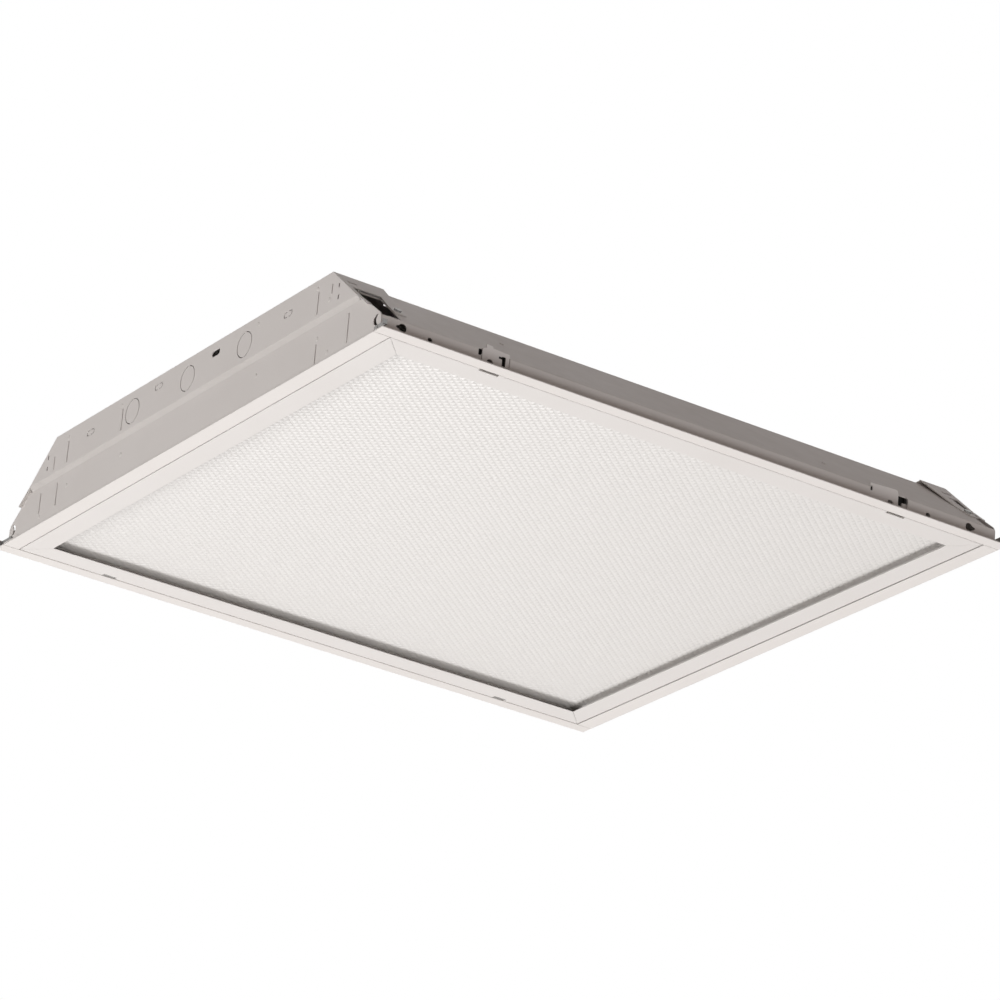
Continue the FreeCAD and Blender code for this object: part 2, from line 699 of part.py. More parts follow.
def end_openings(tag):
    tools = [ring(f"{tag}_knockout_{spot + 1}", f"{spot} * knockout_pitch", "knockout_height",
                  "knockout_radius") for spot in (-1, 0, 1)]
    for index, (y, z) in enumerate(((157, 61.5), (47, 66.6), (-153, 62.2))):
        tools.append(ring(f"{tag}_slot_{index}", y, z, "(slot_width / 2)", "slot_length"))
    depth = (f"-{upper_face} - 1", f"-{upper_face} + end_sheet + 1")
    tools.append(long_hole(f"{tag}_open_slot", depth, "(-43)", "66", "(slot_width / 2)", "slot_length"))
    for flank in (-1, 1):
        for level in ("slit_low", "slit_high"):
            tools.append(upright(f"{tag}_{level}_{flank + 1}", f"{flank} * slit_half",
                                 f"{level} - slit_height / 2", f"{level} + slit_height / 2", upper_face,
                                 "slit_width", ("(0 - end_sheet - 1)", "1")))
        tools.append(crescent(f"{tag}_crescent_{flank + 1}", flank))
        tools.append(rod(f"{tag}_pivot_hole_{flank + 1}", "x", f"-{lower_face} - 1", f"-{lower_back} + 1",
                         (f"{flank} * clip_pivot_half", "clip_pivot_height"), "clip_rivet_radius"))
        tools += return_slots(tag, flank)
        tools.append(leg_rod(f"{tag}_leg_hole_{flank + 1}", -1, flank, "screw_radius", "-2",
                             "end_sheet + 2"))
    return tools


def crescent(name, flank):
    depth = (f"-{lower_face} - 1", f"-{lower_back} + 1")
    y = f"({wall_out} - crescent_setback)"
    full = rod(name + "_round", "x", *depth, (f"{flank} * {y}", "crescent_height"), "crescent_radius")
    bite = rod(name + "_bite", "x", *depth, (f"{flank} * ({y} + crescent_radius * 0.8)", "crescent_height"),
               "crescent_radius")
    return cut(name, full, [bite])


def return_slots(tag, flank):
    """Two upright slots through each sloped return, beside the plate."""
    x = (f"-{upper_face} + 5", f"-{upper_face} + 5 + return_slot_length")
    slots = []
    for level in (0.35, 0.6):
        y = f"(crown_half + {level} * (shoulder_half - crown_half))"
        z = f"(end_top - {level} * (end_top - {shoulder_z}))"
        slots.append(box(f"{tag}_return_slot_{flank + 1}_{int(level * 100)}", x,
                         on_side(flank, (f"{y} - return_slot_width / 2", f"{y} + return_slot_width / 2")),
                         (f"{z} - 3", f"{z} + 3")))
    return slots


def build_end_plate(name, turn):
    """One end plate, made at -X; the other end has the same part turned half round."""
    blank = fuse(name + "_blank", end_plate_blank(name) + end_returns(name) + end_marks(name))
    plate = cut(name, blank, end_openings(name))
    plate.Placement = FreeCAD.Placement(FreeCAD.Vector(), FreeCAD.Rotation(FreeCAD.Vector(0, 0, 1), turn))
    return plate


def build_end_plate_screws():
    screws = []
    for index, (sign, flank) in enumerate(CORNERS):
        name = f"leg_screw_{index}"
        head = leg_rod(name + "_head", sign, flank, "screw_head_radius", "end_sheet",
                       "end_sheet + screw_head_height")
        shank = leg_rod(name + "_shank", sign, flank, "screw_radius", "-(pan_sheet + screw_tip)",
                        "end_sheet")
        screws.append(fuse(name, [head, shank]))
    return group("end_plate_screws", screws)


# ---------------------------------------------------------------- door frame
def rail_section(edge, opening):
    """The rail's folded sheet, drawn with its first coordinate outwards.

    The face turns up into the outer leg, which is hemmed down inside to a ledge for the lens.
    """
    return [
        (edge, "0"), (edge, "door_depth"), (f"{edge} - 2 * door_sheet", "door_depth"),
        (f"{edge} - 2 * door_sheet", "lens_seat"), (f"{edge} - ledge_width", "lens_seat"),
        (f"{edge} - ledge_width", "lens_seat - door_sheet"),
        (f"{edge} - door_sheet", "lens_seat - door_sheet"), (f"{edge} - door_sheet", "door_sheet"),
        (opening, "door_sheet"), (opening, "0"),
    ]


def build_rail(name, along, sign, tools=()):
    """A mitred rail; along is the axis it runs on and sign the side it lies on."""
    run, edge, opening = (door_x, door_y, open_y) if along == "x" else (door_y, door_x, open_x)
    run_open = open_x if along == "x" else open_y
    section = [(f"{sign} * ({u})", z) for u, z in rail_section(edge, opening)]
    bar = prism(name + "_bar", "YZ" if along == "x" else "XZ", f"-{run}", run, section,
                rounded={"rail_edge_radius": (0,), "door_sheet - 0.1": (1, 2), "rail_lip_radius": (8, 9)})
    # the mitre line runs through the door's outer corner and the opening's corner
    lean = f"(({run} - {run_open}) / ({edge} - {opening}))"
    near, far = f"({opening} - 10)", f"({edge} + 10)"
    wedge = [(f"{flank} * ({run} + (({reach}) - {edge}) * {lean} - mitre_gap)", f"{sign} * {reach}")
             for flank, reach in ((-1, far), (1, far), (1, near), (-1, near))]
    if along == "y":
        wedge = [(v, u) for u, v in wedge]
    blank = common(name + "_mitred", [bar, prism(name + "_wedge", "XY", "-1", "door_depth + 1", wedge)])
    if not tools:
        blank.Label = name
        return blank
    return tools_applied(name, blank, *tools)


def tools_applied(name, blank, added, removed):
    trimmed = cut(name if not added else name + "_trimmed", blank, removed)
    return fuse(name, [trimmed] + added) if added else trimmed


def latch_rail_tools():
    """Notches for the latches and the finger slits in the latch side rail."""
    removed = []
    for side, sign, inner, outer, travel in LATCHES:
        # the tongue laps the rail's edge in the last part of the travel
        stop = f"({outer} + max({travel} - latch_lap; cutout_gap))"
        removed.append(box(f"tongue_notch_{side}", on_side(sign, (f"{inner} - cutout_gap", stop)),
                           (f"-{door_y} - 1", f"-{door_y} + 2 * door_sheet + 0.5"),
                           ("latch_foot - 1", "door_depth + 1")))
        middle = f"{sign} * finger_slit_{side}"
        slit = (f"{middle} - finger_slit_length / 2", f"{middle} + finger_slit_length / 2")
        removed.append(box(f"finger_slit_{side}", slit, (f"-{door_y} - 1", f"-{door_y} + finger_slit_width"),
                           ("-1", "latch_foot")))
    # the leg is open behind the wall's holes
    for place in ("-wall_hole_left", "wall_hole_right", "-keyhole_left", "keyhole_right"):
        removed.append(box(f"hole_notch_{place.strip('-')}",
                           (f"{place} - hole_clearance", f"{place} + hole_clearance"),
                           (f"-{door_y} - 1", f"-{door_y} + 2 * door_sheet + 0.5"),
                           ("2 * door_sheet", "door_depth + 1")))
    return [], removed


axis_y = f"({door_y} - hinge_setback)"
knuckle_radius = "(pin_radius + pin_gap + knuckle_wall)"


def hinge_rail_tools():
    """Knuckles on the door, and the notches that clear the housing's leaves."""
    added = []
    removed = []
    for side, sign in HINGES:
        middle = f"({sign} * hinge_place)"
        half = "(hinge_width / 2 + hinge_gap)"
        removed.append(box(f"leaf_notch_{side}", (f"{middle} - {half}", f"{middle} + {half}"),
                           (f"{axis_y} - {knuckle_radius} - hinge_gap", f"{door_y} + 1"),
                           ("-1", "hinge_notch")))
        for flank in (-1, 1):
            x = on_side(flank, (half, f"({half} + hinge_knuckle)"))
            x = (f"{middle} + {x[0]}", f"{middle} + {x[1]}")
            name = f"door_knuckle_{side}_{flank + 1}"
            shell = rod(name + "_shell", "x", *x, (axis_y, "hinge_height"), knuckle_radius)
            bore = rod(name + "_bore", "x", f"{x[0]} - 1", f"{x[1]} + 1", (axis_y, "hinge_height"),
                       "pin_radius + pin_gap")
            added.append(cut(name, shell, [bore]))
    return added, removed


def build_lens():
    half = [f"({edge} - 2 * door_sheet - lens_gap)" for edge in (door_x, door_y)]
    return box("lens", (f"-{half[0]}", half[0]), (f"-{half[1]}", half[1]), ("lens_seat", lens_top))


def build_corner_keys():
    """An L shaped plate on the rails' faces in each corner."""
    keys = []
    for index, (sign, flank) in enumerate(CORNERS):
        outer_x, outer_y = f"({door_x} - door_sheet)", f"({door_y} - door_sheet)"
        inner_x, inner_y = f"({open_x} + key_setback)", f"({open_y} + key_setback)"
        z = ("door_sheet", "door_sheet + key_sheet")
        long_x = box(f"key_{index}_x", on_side(sign, (f"{outer_x} - key_arm", outer_x)),
                     on_side(flank, (inner_y, outer_y)), z)
        long_y = box(f"key_{index}_y", on_side(sign, (inner_x, outer_x)),
                     on_side(flank, (f"{outer_y} - key_arm", outer_y)), z)
        keys.append(fuse(f"corner_key_{index}", [long_x, long_y]))
    return group("corner_keys", keys)


def build_lens_clips():
    """Bent strips between the rails' outer legs and the lens's top."""
    clips = []
    for along, edge in (("x", door_y), ("y", door_x)):
        leg = f"({edge} - 2 * door_sheet)"
        for sign in (-1, 1):
            for spot in (-1, 1):
                run = (f"{spot} * lens_clip_place - clip_strip / 2",
                       f"{spot} * lens_clip_place + clip_strip / 2")
                reach = on_side(sign, (f"{leg} - clip_reach", leg))
                foot = on_side(sign, (f"{leg} - clip_sheet", leg))
                name = f"lens_clip_{along}_{sign + 1}_{spot + 1}"
                spans = [(reach, (lens_top, f"{lens_top} + clip_sheet")),
                         (foot, ("lens_seat", f"{lens_top} + clip_sheet"))]
                parts = [box(f"{name}_{n}", *((run, across) if along == "x" else (across, run)), z)
                         for n, (across, z) in enumerate(spans)]
                clips.append(fuse(name, parts))
    return group("lens_clips", clips)


# ---------------------------------------------------------------- latches
def build_latch_left():
    inner, outer = "-latch_left_inner", "-latch_left_outer"
    y = (f"-{latch_front}", f"-{latch_back}")
    ear_end = f"({outer} + ear_place + ear_width)"
    outline = [(outer, "latch_foot"), (inner, "latch_foot"), (inner, "latch_top"),
               (ear_end, "latch_top + ear_foot"), (ear_end, "latch_top + ear_height"),
               (f"{outer} + ear_place", "latch_top + ear_height"), (f"{outer} + ear_place", "latch_top - 1"),
               (outer, "latch_top - 1.8")]
    plate = prism("latch_left_plate", "XZ", *y, outline, rounded={"latch_corner": (0,)})
    middle = f"({inner} - grip_place)"
    grip = box("latch_left_grip", (f"{middle} - grip_width / 2", f"{middle} + grip_width / 2"),
               (f"{y[0]} - 1", y[1]), ("latch_foot + grip_low", "latch_foot + grip_high"))
    foot_x = (f"{middle} - grip_foot_width / 2", f"{middle} + grip_foot_width / 2")
    grip_foot = box("latch_left_grip_foot", foot_x, (f"{y[0]} - 1", y[1]),
                    ("latch_foot + grip_low", "latch_foot + grip_low + grip_width * 0.6"))
    flag_x = (f"{middle} - grip_width / 2 - grip_flag", middle)
    grip_flag = box("latch_left_grip_flag", flag_x, (f"{y[0]} - 1", y[1]),
                    ("latch_foot + grip_high - grip_width * 0.8", "latch_foot + grip_high - grip_width * 0.2"))
    notch = latch_notch("left", f"({outer} + notch_place)", y)
    shaped = cut("latch_left_shaped", plate, notch + [grip, grip_foot, grip_flag])
    tongue = latch_tongue("left", (outer, f"{middle} - grip_width / 2 - grip_flag - latch_gap"))
    return fuse("latch_left", [shaped, tongue])


def build_latch_right():
    inner, outer = "latch_right_inner", "latch_right_outer"
    y = (f"-{latch_front}", f"-{latch_back}")
    outline = [(inner, "latch_foot"), (outer, "latch_foot"), (outer, "latch_top + 1.6"),
               (f"{outer} - 12", "latch_top + 1"), (inner, "latch_top")]
    plate = prism("latch_right_plate", "XZ", *y, outline, rounded={"latch_corner": (1, 2)})
    notch = latch_notch("right", f"({outer} - notch_place)", y)
    hook = box("latch_right_hook", (f"{inner} - 1", f"{inner} + hook_depth"), (f"{y[0]} - 1", f"{y[1]} + 1"),
               ("latch_top - hook_width - hook_depth", "latch_top - hook_depth"))
    shaped = cut("latch_right_shaped", plate, notch + [hook])
    return fuse("latch_right", [shaped, latch_tongue("right", (inner, outer))])


def latch_notch(side, x, y):
    """A slot with a round top, open at the latch's foot."""
    depth = (f"{y[0]} - 1", f"{y[1]} + 1")
    return [rod(f"latch_{side}_notch_top", "y", *depth, (x, "latch_foot + notch_height"), "notch_radius"),
            box(f"latch_{side}_notch_way", (f"{x} - notch_radius", f"{x} + notch_radius"), depth,
                ("latch_foot - 1", "latch_foot + notch_height"))]


def latch_tongue(side, x):
    """The flange that runs in the guide and laps the door's edge."""
    return box(f"latch_tongue_{side}", x, (f"-{latch_front}", f"-({door_y} - guide_reach - guide_depth + 1)"),
               (tongue_low, f"{tongue_low} + latch_sheet"))


def build_guide(side, sign, inner, outer, travel):
    """A block under the slope with a slot that carries the latch's flange."""
    x = on_side(sign, (f"{inner} - 3", f"{outer} + {travel} + 3"))
    face = f"({door_y} - guide_reach)"
    back = f"({face} - guide_depth)"
    floor = f"({tongue_low} - guide_gap - guide_floor)"
    outline = [(f"-{face}", floor), (f"-{back}", floor), (f"-{back}", slope_under_z(back)),
               (f"-{face}", slope_under_z(face))]
    block = prism(f"guide_block_{side}", "YZ", *x, outline)
    slot = box(f"guide_slot_{side}", (f"{x[0]} - 1", f"{x[1]} + 1"), (f"-{face} - 1", f"-{back} - 0.8"),
               (f"{tongue_low} - guide_gap", f"{tongue_low} + latch_sheet + guide_gap"))
    return cut(f"latch_guide_{side}", block, [slot])


# ---------------------------------------------------------------- hinges
def build_hinge_leaf(side, sign):
    middle = f"({sign} * hinge_place)"
    x = (f"{middle} - hinge_width / 2", f"{middle} + hinge_width / 2")
    roll = f"(hinge_height + {knuckle_radius})"
    upright_strip = box(f"leaf_upright_{side}", x, (f"{wall_in} - leaf_sheet", wall_in),
                        (f"{roll} - knuckle_wall", "leaf_top"))
    cross = box(f"leaf_cross_{side}", x, (axis_y, wall_in), (f"{roll} - knuckle_wall", roll))
    shell = rod(f"leaf_shell_{side}", "x", *x, (axis_y, "hinge_height"), knuckle_radius)
    bores = [rod(f"leaf_bore_{side}", "x", f"{x[0]} - 1", f"{x[1]} + 1", (axis_y, "hinge_height"),
                 "pin_radius")]
    for index, (rivet_x, rivet_z) in enumerate(HINGE_RIVETS):
        if rivet_x.startswith(f"{sign} "):
            bores.append(rod(f"leaf_rivet_hole_{index}", "y", f"{wall_in} - 1", f"{wall_in} + 1",
                             (rivet_x, rivet_z), "hinge_rivet_radius"))
    return cut(f"hinge_leaf_{side}", fuse(f"leaf_blank_{side}", [upright_strip, cross, shell]), bores)


def build_hinge_pin(side, sign):
    middle = f"({sign} * hinge_place)"
    half = "(hinge_width / 2 + hinge_gap + hinge_knuckle)"
    return rod(f"hinge_pin_{side}", "x", f"{middle} - {half}", f"{middle} + {half}",
               (axis_y, "hinge_height"), "pin_radius")


def build_hinge_rivets():
    rivets = []
    for index, centre in enumerate(HINGE_RIVETS):
        shank = rod(f"hinge_rivet_shank_{index}", "y", f"{wall_in} - leaf_sheet", wall_out, centre,
                    "hinge_rivet_radius")
        head = rod(f"hinge_rivet_head_{index}", "y", wall_out, f"{wall_out} + leaf_sheet", centre,
                   "2 * hinge_rivet_radius")
        rivets.append(fuse(f"hinge_rivet_{index}", [shank, head]))
    return group("hinge_rivets", rivets)


# ---------------------------------------------------------------- grid clips
def build_grid_clip(number, sign, flank):
    """A swing arm on the end plate's lower corner with a bent tab at its tip."""
    face = f"({lower_face} + clip_gap)"
    x = on_side(sign, (face, f"{face} + grid_clip_sheet"))
    z = ("clip_pivot_height - grid_clip_height / 2", "clip_pivot_height + grid_clip_height / 2")
    tip = "(clip_pivot_half + grid_clip_reach)"
    arm = box(f"clip_arm_{number}", x, on_side(flank, ("clip_pivot_half", tip)), z)
    eye = rod(f"clip_eye_{number}", "x", *x, (f"{flank} * clip_pivot_half", "clip_pivot_height"),
              "grid_clip_height / 2")
    tab = box(f"clip_tab_{number}", on_side(sign, (face, f"{face} + grid_clip_sheet + grid_clip_tab")),
              on_side(flank, (f"{tip} - grid_clip_sheet", tip)), z)
    bore = rod(f"clip_bore_{number}", "x", f"{x[0]} - 1", f"{x[1]} + 1",
               (f"{flank} * clip_pivot_half", "clip_pivot_height"), "clip_rivet_radius + clip_gap")
    return cut(f"tbar_clip_{number}", fuse(f"clip_blank_{number}", [arm, eye, tab]), [bore])


def build_clip_rivets():
    rivets = []
    for index, (sign, flank) in enumerate(CORNERS):
        centre = (f"{flank} * clip_pivot_half", "clip_pivot_height")
        outer = f"({lower_face} + 2 * clip_gap + grid_clip_sheet)"
        shank = rod(f"clip_rivet_shank_{index}", "x", *on_side(sign, (lower_back, outer)), centre,
                    "clip_rivet_radius")
        head = rod(f"clip_rivet_head_{index}", "x", *on_side(sign, (outer, f"{outer} + end_sheet")),
                   centre, "1.7 * clip_rivet_radius")
        rivets.append(fuse(f"clip_rivet_{index}", [shank, head]))
    return group("clip_rivets", rivets)


# ---------------------------------------------------------------- light source and supply
def build_board(number, y):
    blank = box(f"board_blank_{number}", ("-board_length / 2", "board_length / 2"),
                (f"{y} - board_width / 2", f"{y} + board_width / 2"), (board_under, pan_under))
    row = f"board_screw_{number}_"
    holes = [hole(f"{name}_board_hole", x, screw_y, f"{board_under} - 1", f"{pan_under} + 1")
             for name, x, screw_y in BOARD_SCREWS if name.startswith(row)]
    return cut(f"led_board_{number + 1}", blank, holes)


def build_packages(number, y):
    """The row of LED packages under one board, as one group of equal blocks."""
    pitch, size = value("led_pitch"), value("led_length")
    count = int(value("led_count"))
    first = -pitch * (count - 1) / 2
    corner = FreeCAD.Vector(first - size / 2, value(y) - size / 2, value(f"{board_under} - led_height"))
    blocks = [Part.makeBox(size, size, value("led_height"), corner + FreeCAD.Vector(pitch * n, 0, 0))
              for n in range(count)]
    packages = doc.addObject("Part::Feature", f"led_packages_{number + 1}")
    packages.Shape = Part.makeCompound(blocks)
    return packages


def connector_x(spot):
    return f"(led_pitch * (led_count / 2 - 1 - {spot}))"


# each lead leaves the board before it and lands on the board after it
LEADS = [("-board_outer", "-board_inner", 0), ("board_inner", "board_outer", 0),
         ("-board_inner", "-cover_half", 1), ("cover_half", "board_inner", 1)]


def build_connectors():
    blocks = []
    for index, y in enumerate(BOARDS):
        outwards = index in (0, 3)
        for spot in ((0,) if outwards else (0, 1)):
            x = connector_x(spot)
            blocks.append(box(f"connector_{index}_{spot}",
                              (f"{x} - connector_length / 2", f"{x} + connector_length / 2"),
                              (f"{y} - connector_width / 2", f"{y} + connector_width / 2"),
                              (f"{board_under} - connector_height", board_under)))
    return group("board_connectors", blocks)


def build_jumper_wires():
    """Pairs of short straight leads between neighbouring connectors."""
    wires = []
    z = f"({board_under} - connector_height / 2)"
    for index, (low, high, spot) in enumerate(LEADS):
        start = low if low.endswith("cover_half") else f"{low} + connector_width / 2"
        end = high if high.endswith("cover_half") else f"{high} - connector_width / 2"
        if low.endswith("cover_half"):
            start = cover_web(z, 1)
        if high.endswith("cover_half"):
            end = cover_web(z, -1)
        for flank in (-1, 1):
            x = f"{connector_x(spot)} + {flank} * wire_spacing / 2"
            wires.append(rod(f"wire_{index}_{flank + 1}", "y", start, end, (x, z), "wire_radius"))
    return group("jumper_wires", wires)


def cover_web(z, flank):
    """Outer face of the driver cover's leaning web at a height z, a little proud of it."""
    lean = "((cover_half - cover_floor_half) / cover_drop)"
    return f"{flank} * (cover_half + 0.3 - ({pan_under} - {z}) * {lean} + wire_radius * {lean})"


def build_driver():
    half = "driver_length / 2"
    body = box("driver_body", (f"-{half}", half), ("-driver_width / 2", "driver_width / 2"),
               (f"{pan_under} - driver_height", pan_under))
    feet = box("driver_feet", (f"-({half} + driver_foot)", f"{half} + driver_foot"),
               ("-driver_width / 4", "driver_width / 4"), (f"{pan_under} - pan_sheet", pan_under))
    holes = [hole(f"{name}_foot_hole", x, y, f"{pan_under} - 3", f"{pan_under} + 1")
             for name, x, y in DRIVER_SCREWS]
    return cut("led_driver", fuse("driver_blank", [body, feet]), holes)


def build_cover():
    """A hat section along X that closes the driver's space."""
    rim = "(cover_half + cover_flange)"
    low = f"({pan_under} - cover_drop)"
    foot = f"({pan_under} - cover_sheet)"
    section = [(rim, pan_under), (rim, foot), ("cover_half", foot), ("cover_floor_half", low),
               ("-cover_floor_half", low), ("-cover_half", foot), (f"-{rim}", foot), (f"-{rim}", pan_under),
               ("-(cover_half - cover_sheet)", pan_under),
               ("-(cover_floor_half - cover_sheet)", f"{low} + cover_sheet"),
               ("cover_floor_half - cover_sheet", f"{low} + cover_sheet"),
               ("cover_half - cover_sheet", pan_under)]
    end = f"({pan_end} - cover_end_gap)"
    blank = prism("cover_section", "YZ", f"-{end}", end, section)
    holes = [hole(f"{name}_cover_hole", x, y, f"{foot} - 1", f"{pan_under} + 1")
             for name, x, y in COVER_SCREWS]
    return cut("driver_cover", blank, holes)


def build_access_plate():
    half = "access_length / 2"
    blank = box("access_blank", (f"access_place - {half}", f"access_place + {half}"),
                ("-access_width / 2", "access_width / 2"), ("pan_top", "pan_top + access_sheet"))
    holes = [hole(f"{name}_plate_hole", x, y, "pan_top - 1", "pan_top + 2")
             for name, x, y in ACCESS_SCREWS]
    return cut("access_plate", blank, holes)


def screw_group(name, places, seat, tip, sign):
    return group(name, [screw(part, x, y, seat, tip, sign) for part, x, y in places])


# ---------------------------------------------------------------- the assembly
tip_up = "(pan_top + screw_tip / 2)"
tip_down = f"({pan_under} - screw_tip)"
nodes = [
    build_pan(),
    build_end_plate("end_plate_near", 0),
    build_end_plate("end_plate_far", 180),
    build_end_plate_screws(),
    build_rail("door_rail_latch_side", "x", -1, latch_rail_tools()),
    build_rail("door_rail_hinge_side", "x", 1, hinge_rail_tools()),
    build_rail("door_rail_left", "y", -1),
    build_rail("door_rail_right", "y", 1),
    build_corner_keys(),
    build_lens(),
    build_lens_clips(),
    build_latch_left(),
    build_latch_right(),
    build_hinge_rivets(),
    build_clip_rivets(),
    build_connectors(),
    build_jumper_wires(),
    build_driver(),
    build_cover(),
    build_access_plate(),
    screw_group("board_screws", BOARD_SCREWS, board_under, tip_up, -1),
    screw_group("cover_screws", COVER_SCREWS, f"({pan_under} - cover_sheet)", tip_up, -1),
    screw_group("driver_screws", DRIVER_SCREWS, f"({pan_under} - pan_sheet)", tip_up, -1),
    screw_group("ground_screw", GROUND_SCREWS, pan_under, tip_up, -1),
    screw_group("access_screws", ACCESS_SCREWS, "(pan_top + access_sheet)", tip_down, 1),
]
nodes += [build_guide(*latch) for latch in LATCHES]
for hinge in HINGES:
    nodes += [build_hinge_leaf(*hinge), build_hinge_pin(*hinge)]
nodes += [build_grid_clip(number, *corner) for number, corner in enumerate(CORNERS, start=1)]
for number, y in enumerate(BOARDS):
    nodes += [build_board(number, y), build_packages(number, y)]

doc.recompute()

faults = [item.Name for item in doc.Objects if {"Invalid", "Error"} & set(item.State)]
faults += [node.Label for node in nodes if node.Shape.isNull() or not node.Shape.isValid()]
if faults:
    raise SystemExit("failed: " + ", ".join(faults))

for node in nodes:
    node.Shape.exportStep(f"parts/{node.Label}.step")
    print(node.Label, len(node.Shape.Solids), round(node.Shape.Volume, 1))
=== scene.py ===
"""Dresses the packed recessed troffer light: its finishes, prismatic lens and small fittings, then the stage.

Lengths are metres in the CAD model's own frame: +Z is up and z = 0 is the ceiling plane.
"""

import json
import math

import bmesh
import bpy
from bpy.props import FloatProperty, FloatVectorProperty, IntProperty, PointerProperty
from mathutils import Matrix, Vector

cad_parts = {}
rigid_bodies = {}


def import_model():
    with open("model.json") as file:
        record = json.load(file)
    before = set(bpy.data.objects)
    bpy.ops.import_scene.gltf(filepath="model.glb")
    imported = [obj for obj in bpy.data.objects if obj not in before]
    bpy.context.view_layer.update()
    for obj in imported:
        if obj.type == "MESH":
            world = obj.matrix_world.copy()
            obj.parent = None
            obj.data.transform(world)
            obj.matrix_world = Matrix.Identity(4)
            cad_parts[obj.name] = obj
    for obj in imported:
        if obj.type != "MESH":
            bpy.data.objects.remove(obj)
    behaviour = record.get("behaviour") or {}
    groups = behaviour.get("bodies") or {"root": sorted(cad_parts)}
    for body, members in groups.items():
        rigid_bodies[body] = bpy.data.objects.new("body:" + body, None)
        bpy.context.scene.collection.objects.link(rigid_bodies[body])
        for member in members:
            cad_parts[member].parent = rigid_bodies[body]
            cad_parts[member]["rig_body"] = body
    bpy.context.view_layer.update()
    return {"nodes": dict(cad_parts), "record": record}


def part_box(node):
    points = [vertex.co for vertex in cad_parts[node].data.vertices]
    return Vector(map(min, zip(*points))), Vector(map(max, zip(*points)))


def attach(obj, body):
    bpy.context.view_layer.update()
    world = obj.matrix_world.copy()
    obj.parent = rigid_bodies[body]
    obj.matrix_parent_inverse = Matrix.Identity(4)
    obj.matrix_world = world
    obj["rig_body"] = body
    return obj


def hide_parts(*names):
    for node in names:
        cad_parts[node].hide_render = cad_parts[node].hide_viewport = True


bl_info = {
    "name": "Recessed troffer light",
    "version": (1, 0, 0),
    "blender": (4, 5, 0),
    "location": "View3D > Sidebar > Troffer",
    "description": "Builds the finishes, the prismatic lens and the fittings of a recessed ceiling light",
    "category": "Add Mesh",
}

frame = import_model()
NODES = frame["nodes"]

MM = 0.001


# ---------------------------------------------------------------- settings
class LensSettings(bpy.types.PropertyGroup):
    """The prismatic panel in the door."""

    pitch: FloatProperty(name="Prism pitch", description="Distance between the rows of prisms",
                         default=4.89 * MM, unit="LENGTH", precision=5)
    depth: FloatProperty(name="Prism depth", description="Height of a prism over the valleys around it",
                         default=0.5 * MM, unit="LENGTH", precision=5)
    stretch: FloatProperty(name="Stretch", description="Length of a prism along X over its width along Y",
                           default=1.17, min=0.5, max=2)
    turn: FloatProperty(name="Turn", description="Angle between the prism rows and the door's rails",
                        default=math.radians(45), subtype="ANGLE")
    colour: FloatVectorProperty(name="Colour", description="White acrylic", default=(0.77, 0.753, 0.733),
                                subtype="COLOR", size=3, min=0, max=1)


class PaintSettings(bpy.types.PropertyGroup):
    """The painted sheet steel of the housing, end plates and door."""

    housing: FloatVectorProperty(name="Housing paint", description="White baked enamel on the pan",
                                 default=(0.82, 0.79, 0.765), subtype="COLOR", size=3, min=0, max=1)
    ends: FloatVectorProperty(name="End plate paint", description="White baked enamel on the end plates",
                              default=(0.82, 0.79, 0.765), subtype="COLOR", size=3, min=0, max=1)
    door: FloatVectorProperty(name="Door paint", description="White baked enamel on the door frame",
                              default=(0.79, 0.765, 0.745), subtype="COLOR", size=3, min=0, max=1)
    latch: FloatVectorProperty(name="Latch paint", description="White enamel on the latch plates",
                               default=(0.85, 0.82, 0.80), subtype="COLOR", size=3, min=0, max=1)
    peel_width: FloatProperty(name="Orange peel width", description="Size of a wave in the paint film",
                              default=1.6 * MM, unit="LENGTH", precision=5)
    peel_depth: FloatProperty(name="Orange peel depth", description="Depth of the waves in the paint film",
                              default=0.012 * MM, unit="LENGTH", precision=6)
    edge_radius: FloatProperty(name="Edge radius", description="Softness of a painted sheet's edges",
                               default=0.35 * MM, unit="LENGTH", precision=5)


class FittingSettings(bpy.types.PropertyGroup):
    """Screws, rivets and the parts inside."""

    head_segments: IntProperty(name="Head steps", description="Steps round a rivet's head", default=20,
                               min=8, max=48)
    thread_pitch: FloatProperty(name="Thread pitch", description="Distance between thread crests",
                                default=0.9 * MM, unit="LENGTH", precision=5)
    steel: FloatVectorProperty(name="Zinc plate", description="Colour of plated steel",
                               default=(0.25, 0.245, 0.24), subtype="COLOR", size=3, min=0, max=1)
    phosphor: FloatVectorProperty(name="Phosphor", description="Colour of the LED packages' cups",
                                  default=(0.88, 0.62, 0.10), subtype="COLOR", size=3, min=0, max=1)


class StageSettings(bpy.types.PropertyGroup):
    """Floor, lamps, world and camera."""

    floor_drop: FloatProperty(name="Floor drop", description="Height of the ceiling plane over the floor",
                              default=4.6, unit="LENGTH")
    key_power: FloatProperty(name="Key lamp", description="Power of the lamp under the face",
                             default=46, unit="POWER")
    side_power: FloatProperty(name="Side lamp", description="Power of the lamp that lights the near end",
                              default=38, unit="POWER")
    front_power: FloatProperty(name="Front lamp", description="Power of the lamp on the latch side",
                               default=27, unit="POWER")
    back_power: FloatProperty(name="Back lamp", default=52, unit="POWER",
                              description="Power of the lamp over the hinge side and the top")
    world_strength: FloatProperty(name="World strength", description="Brightness of the room's light",
                                  default=0.20, min=0, max=2)
    world_colour: FloatVectorProperty(name="World colour", description="Tint of the room's light",
                                      default=(1.0, 0.87, 0.82), subtype="COLOR", size=3, min=0, max=1)


SETTINGS = {"troffer_lens": LensSettings, "troffer_paint": PaintSettings,
            "troffer_fittings": FittingSettings, "troffer_stage": StageSettings}


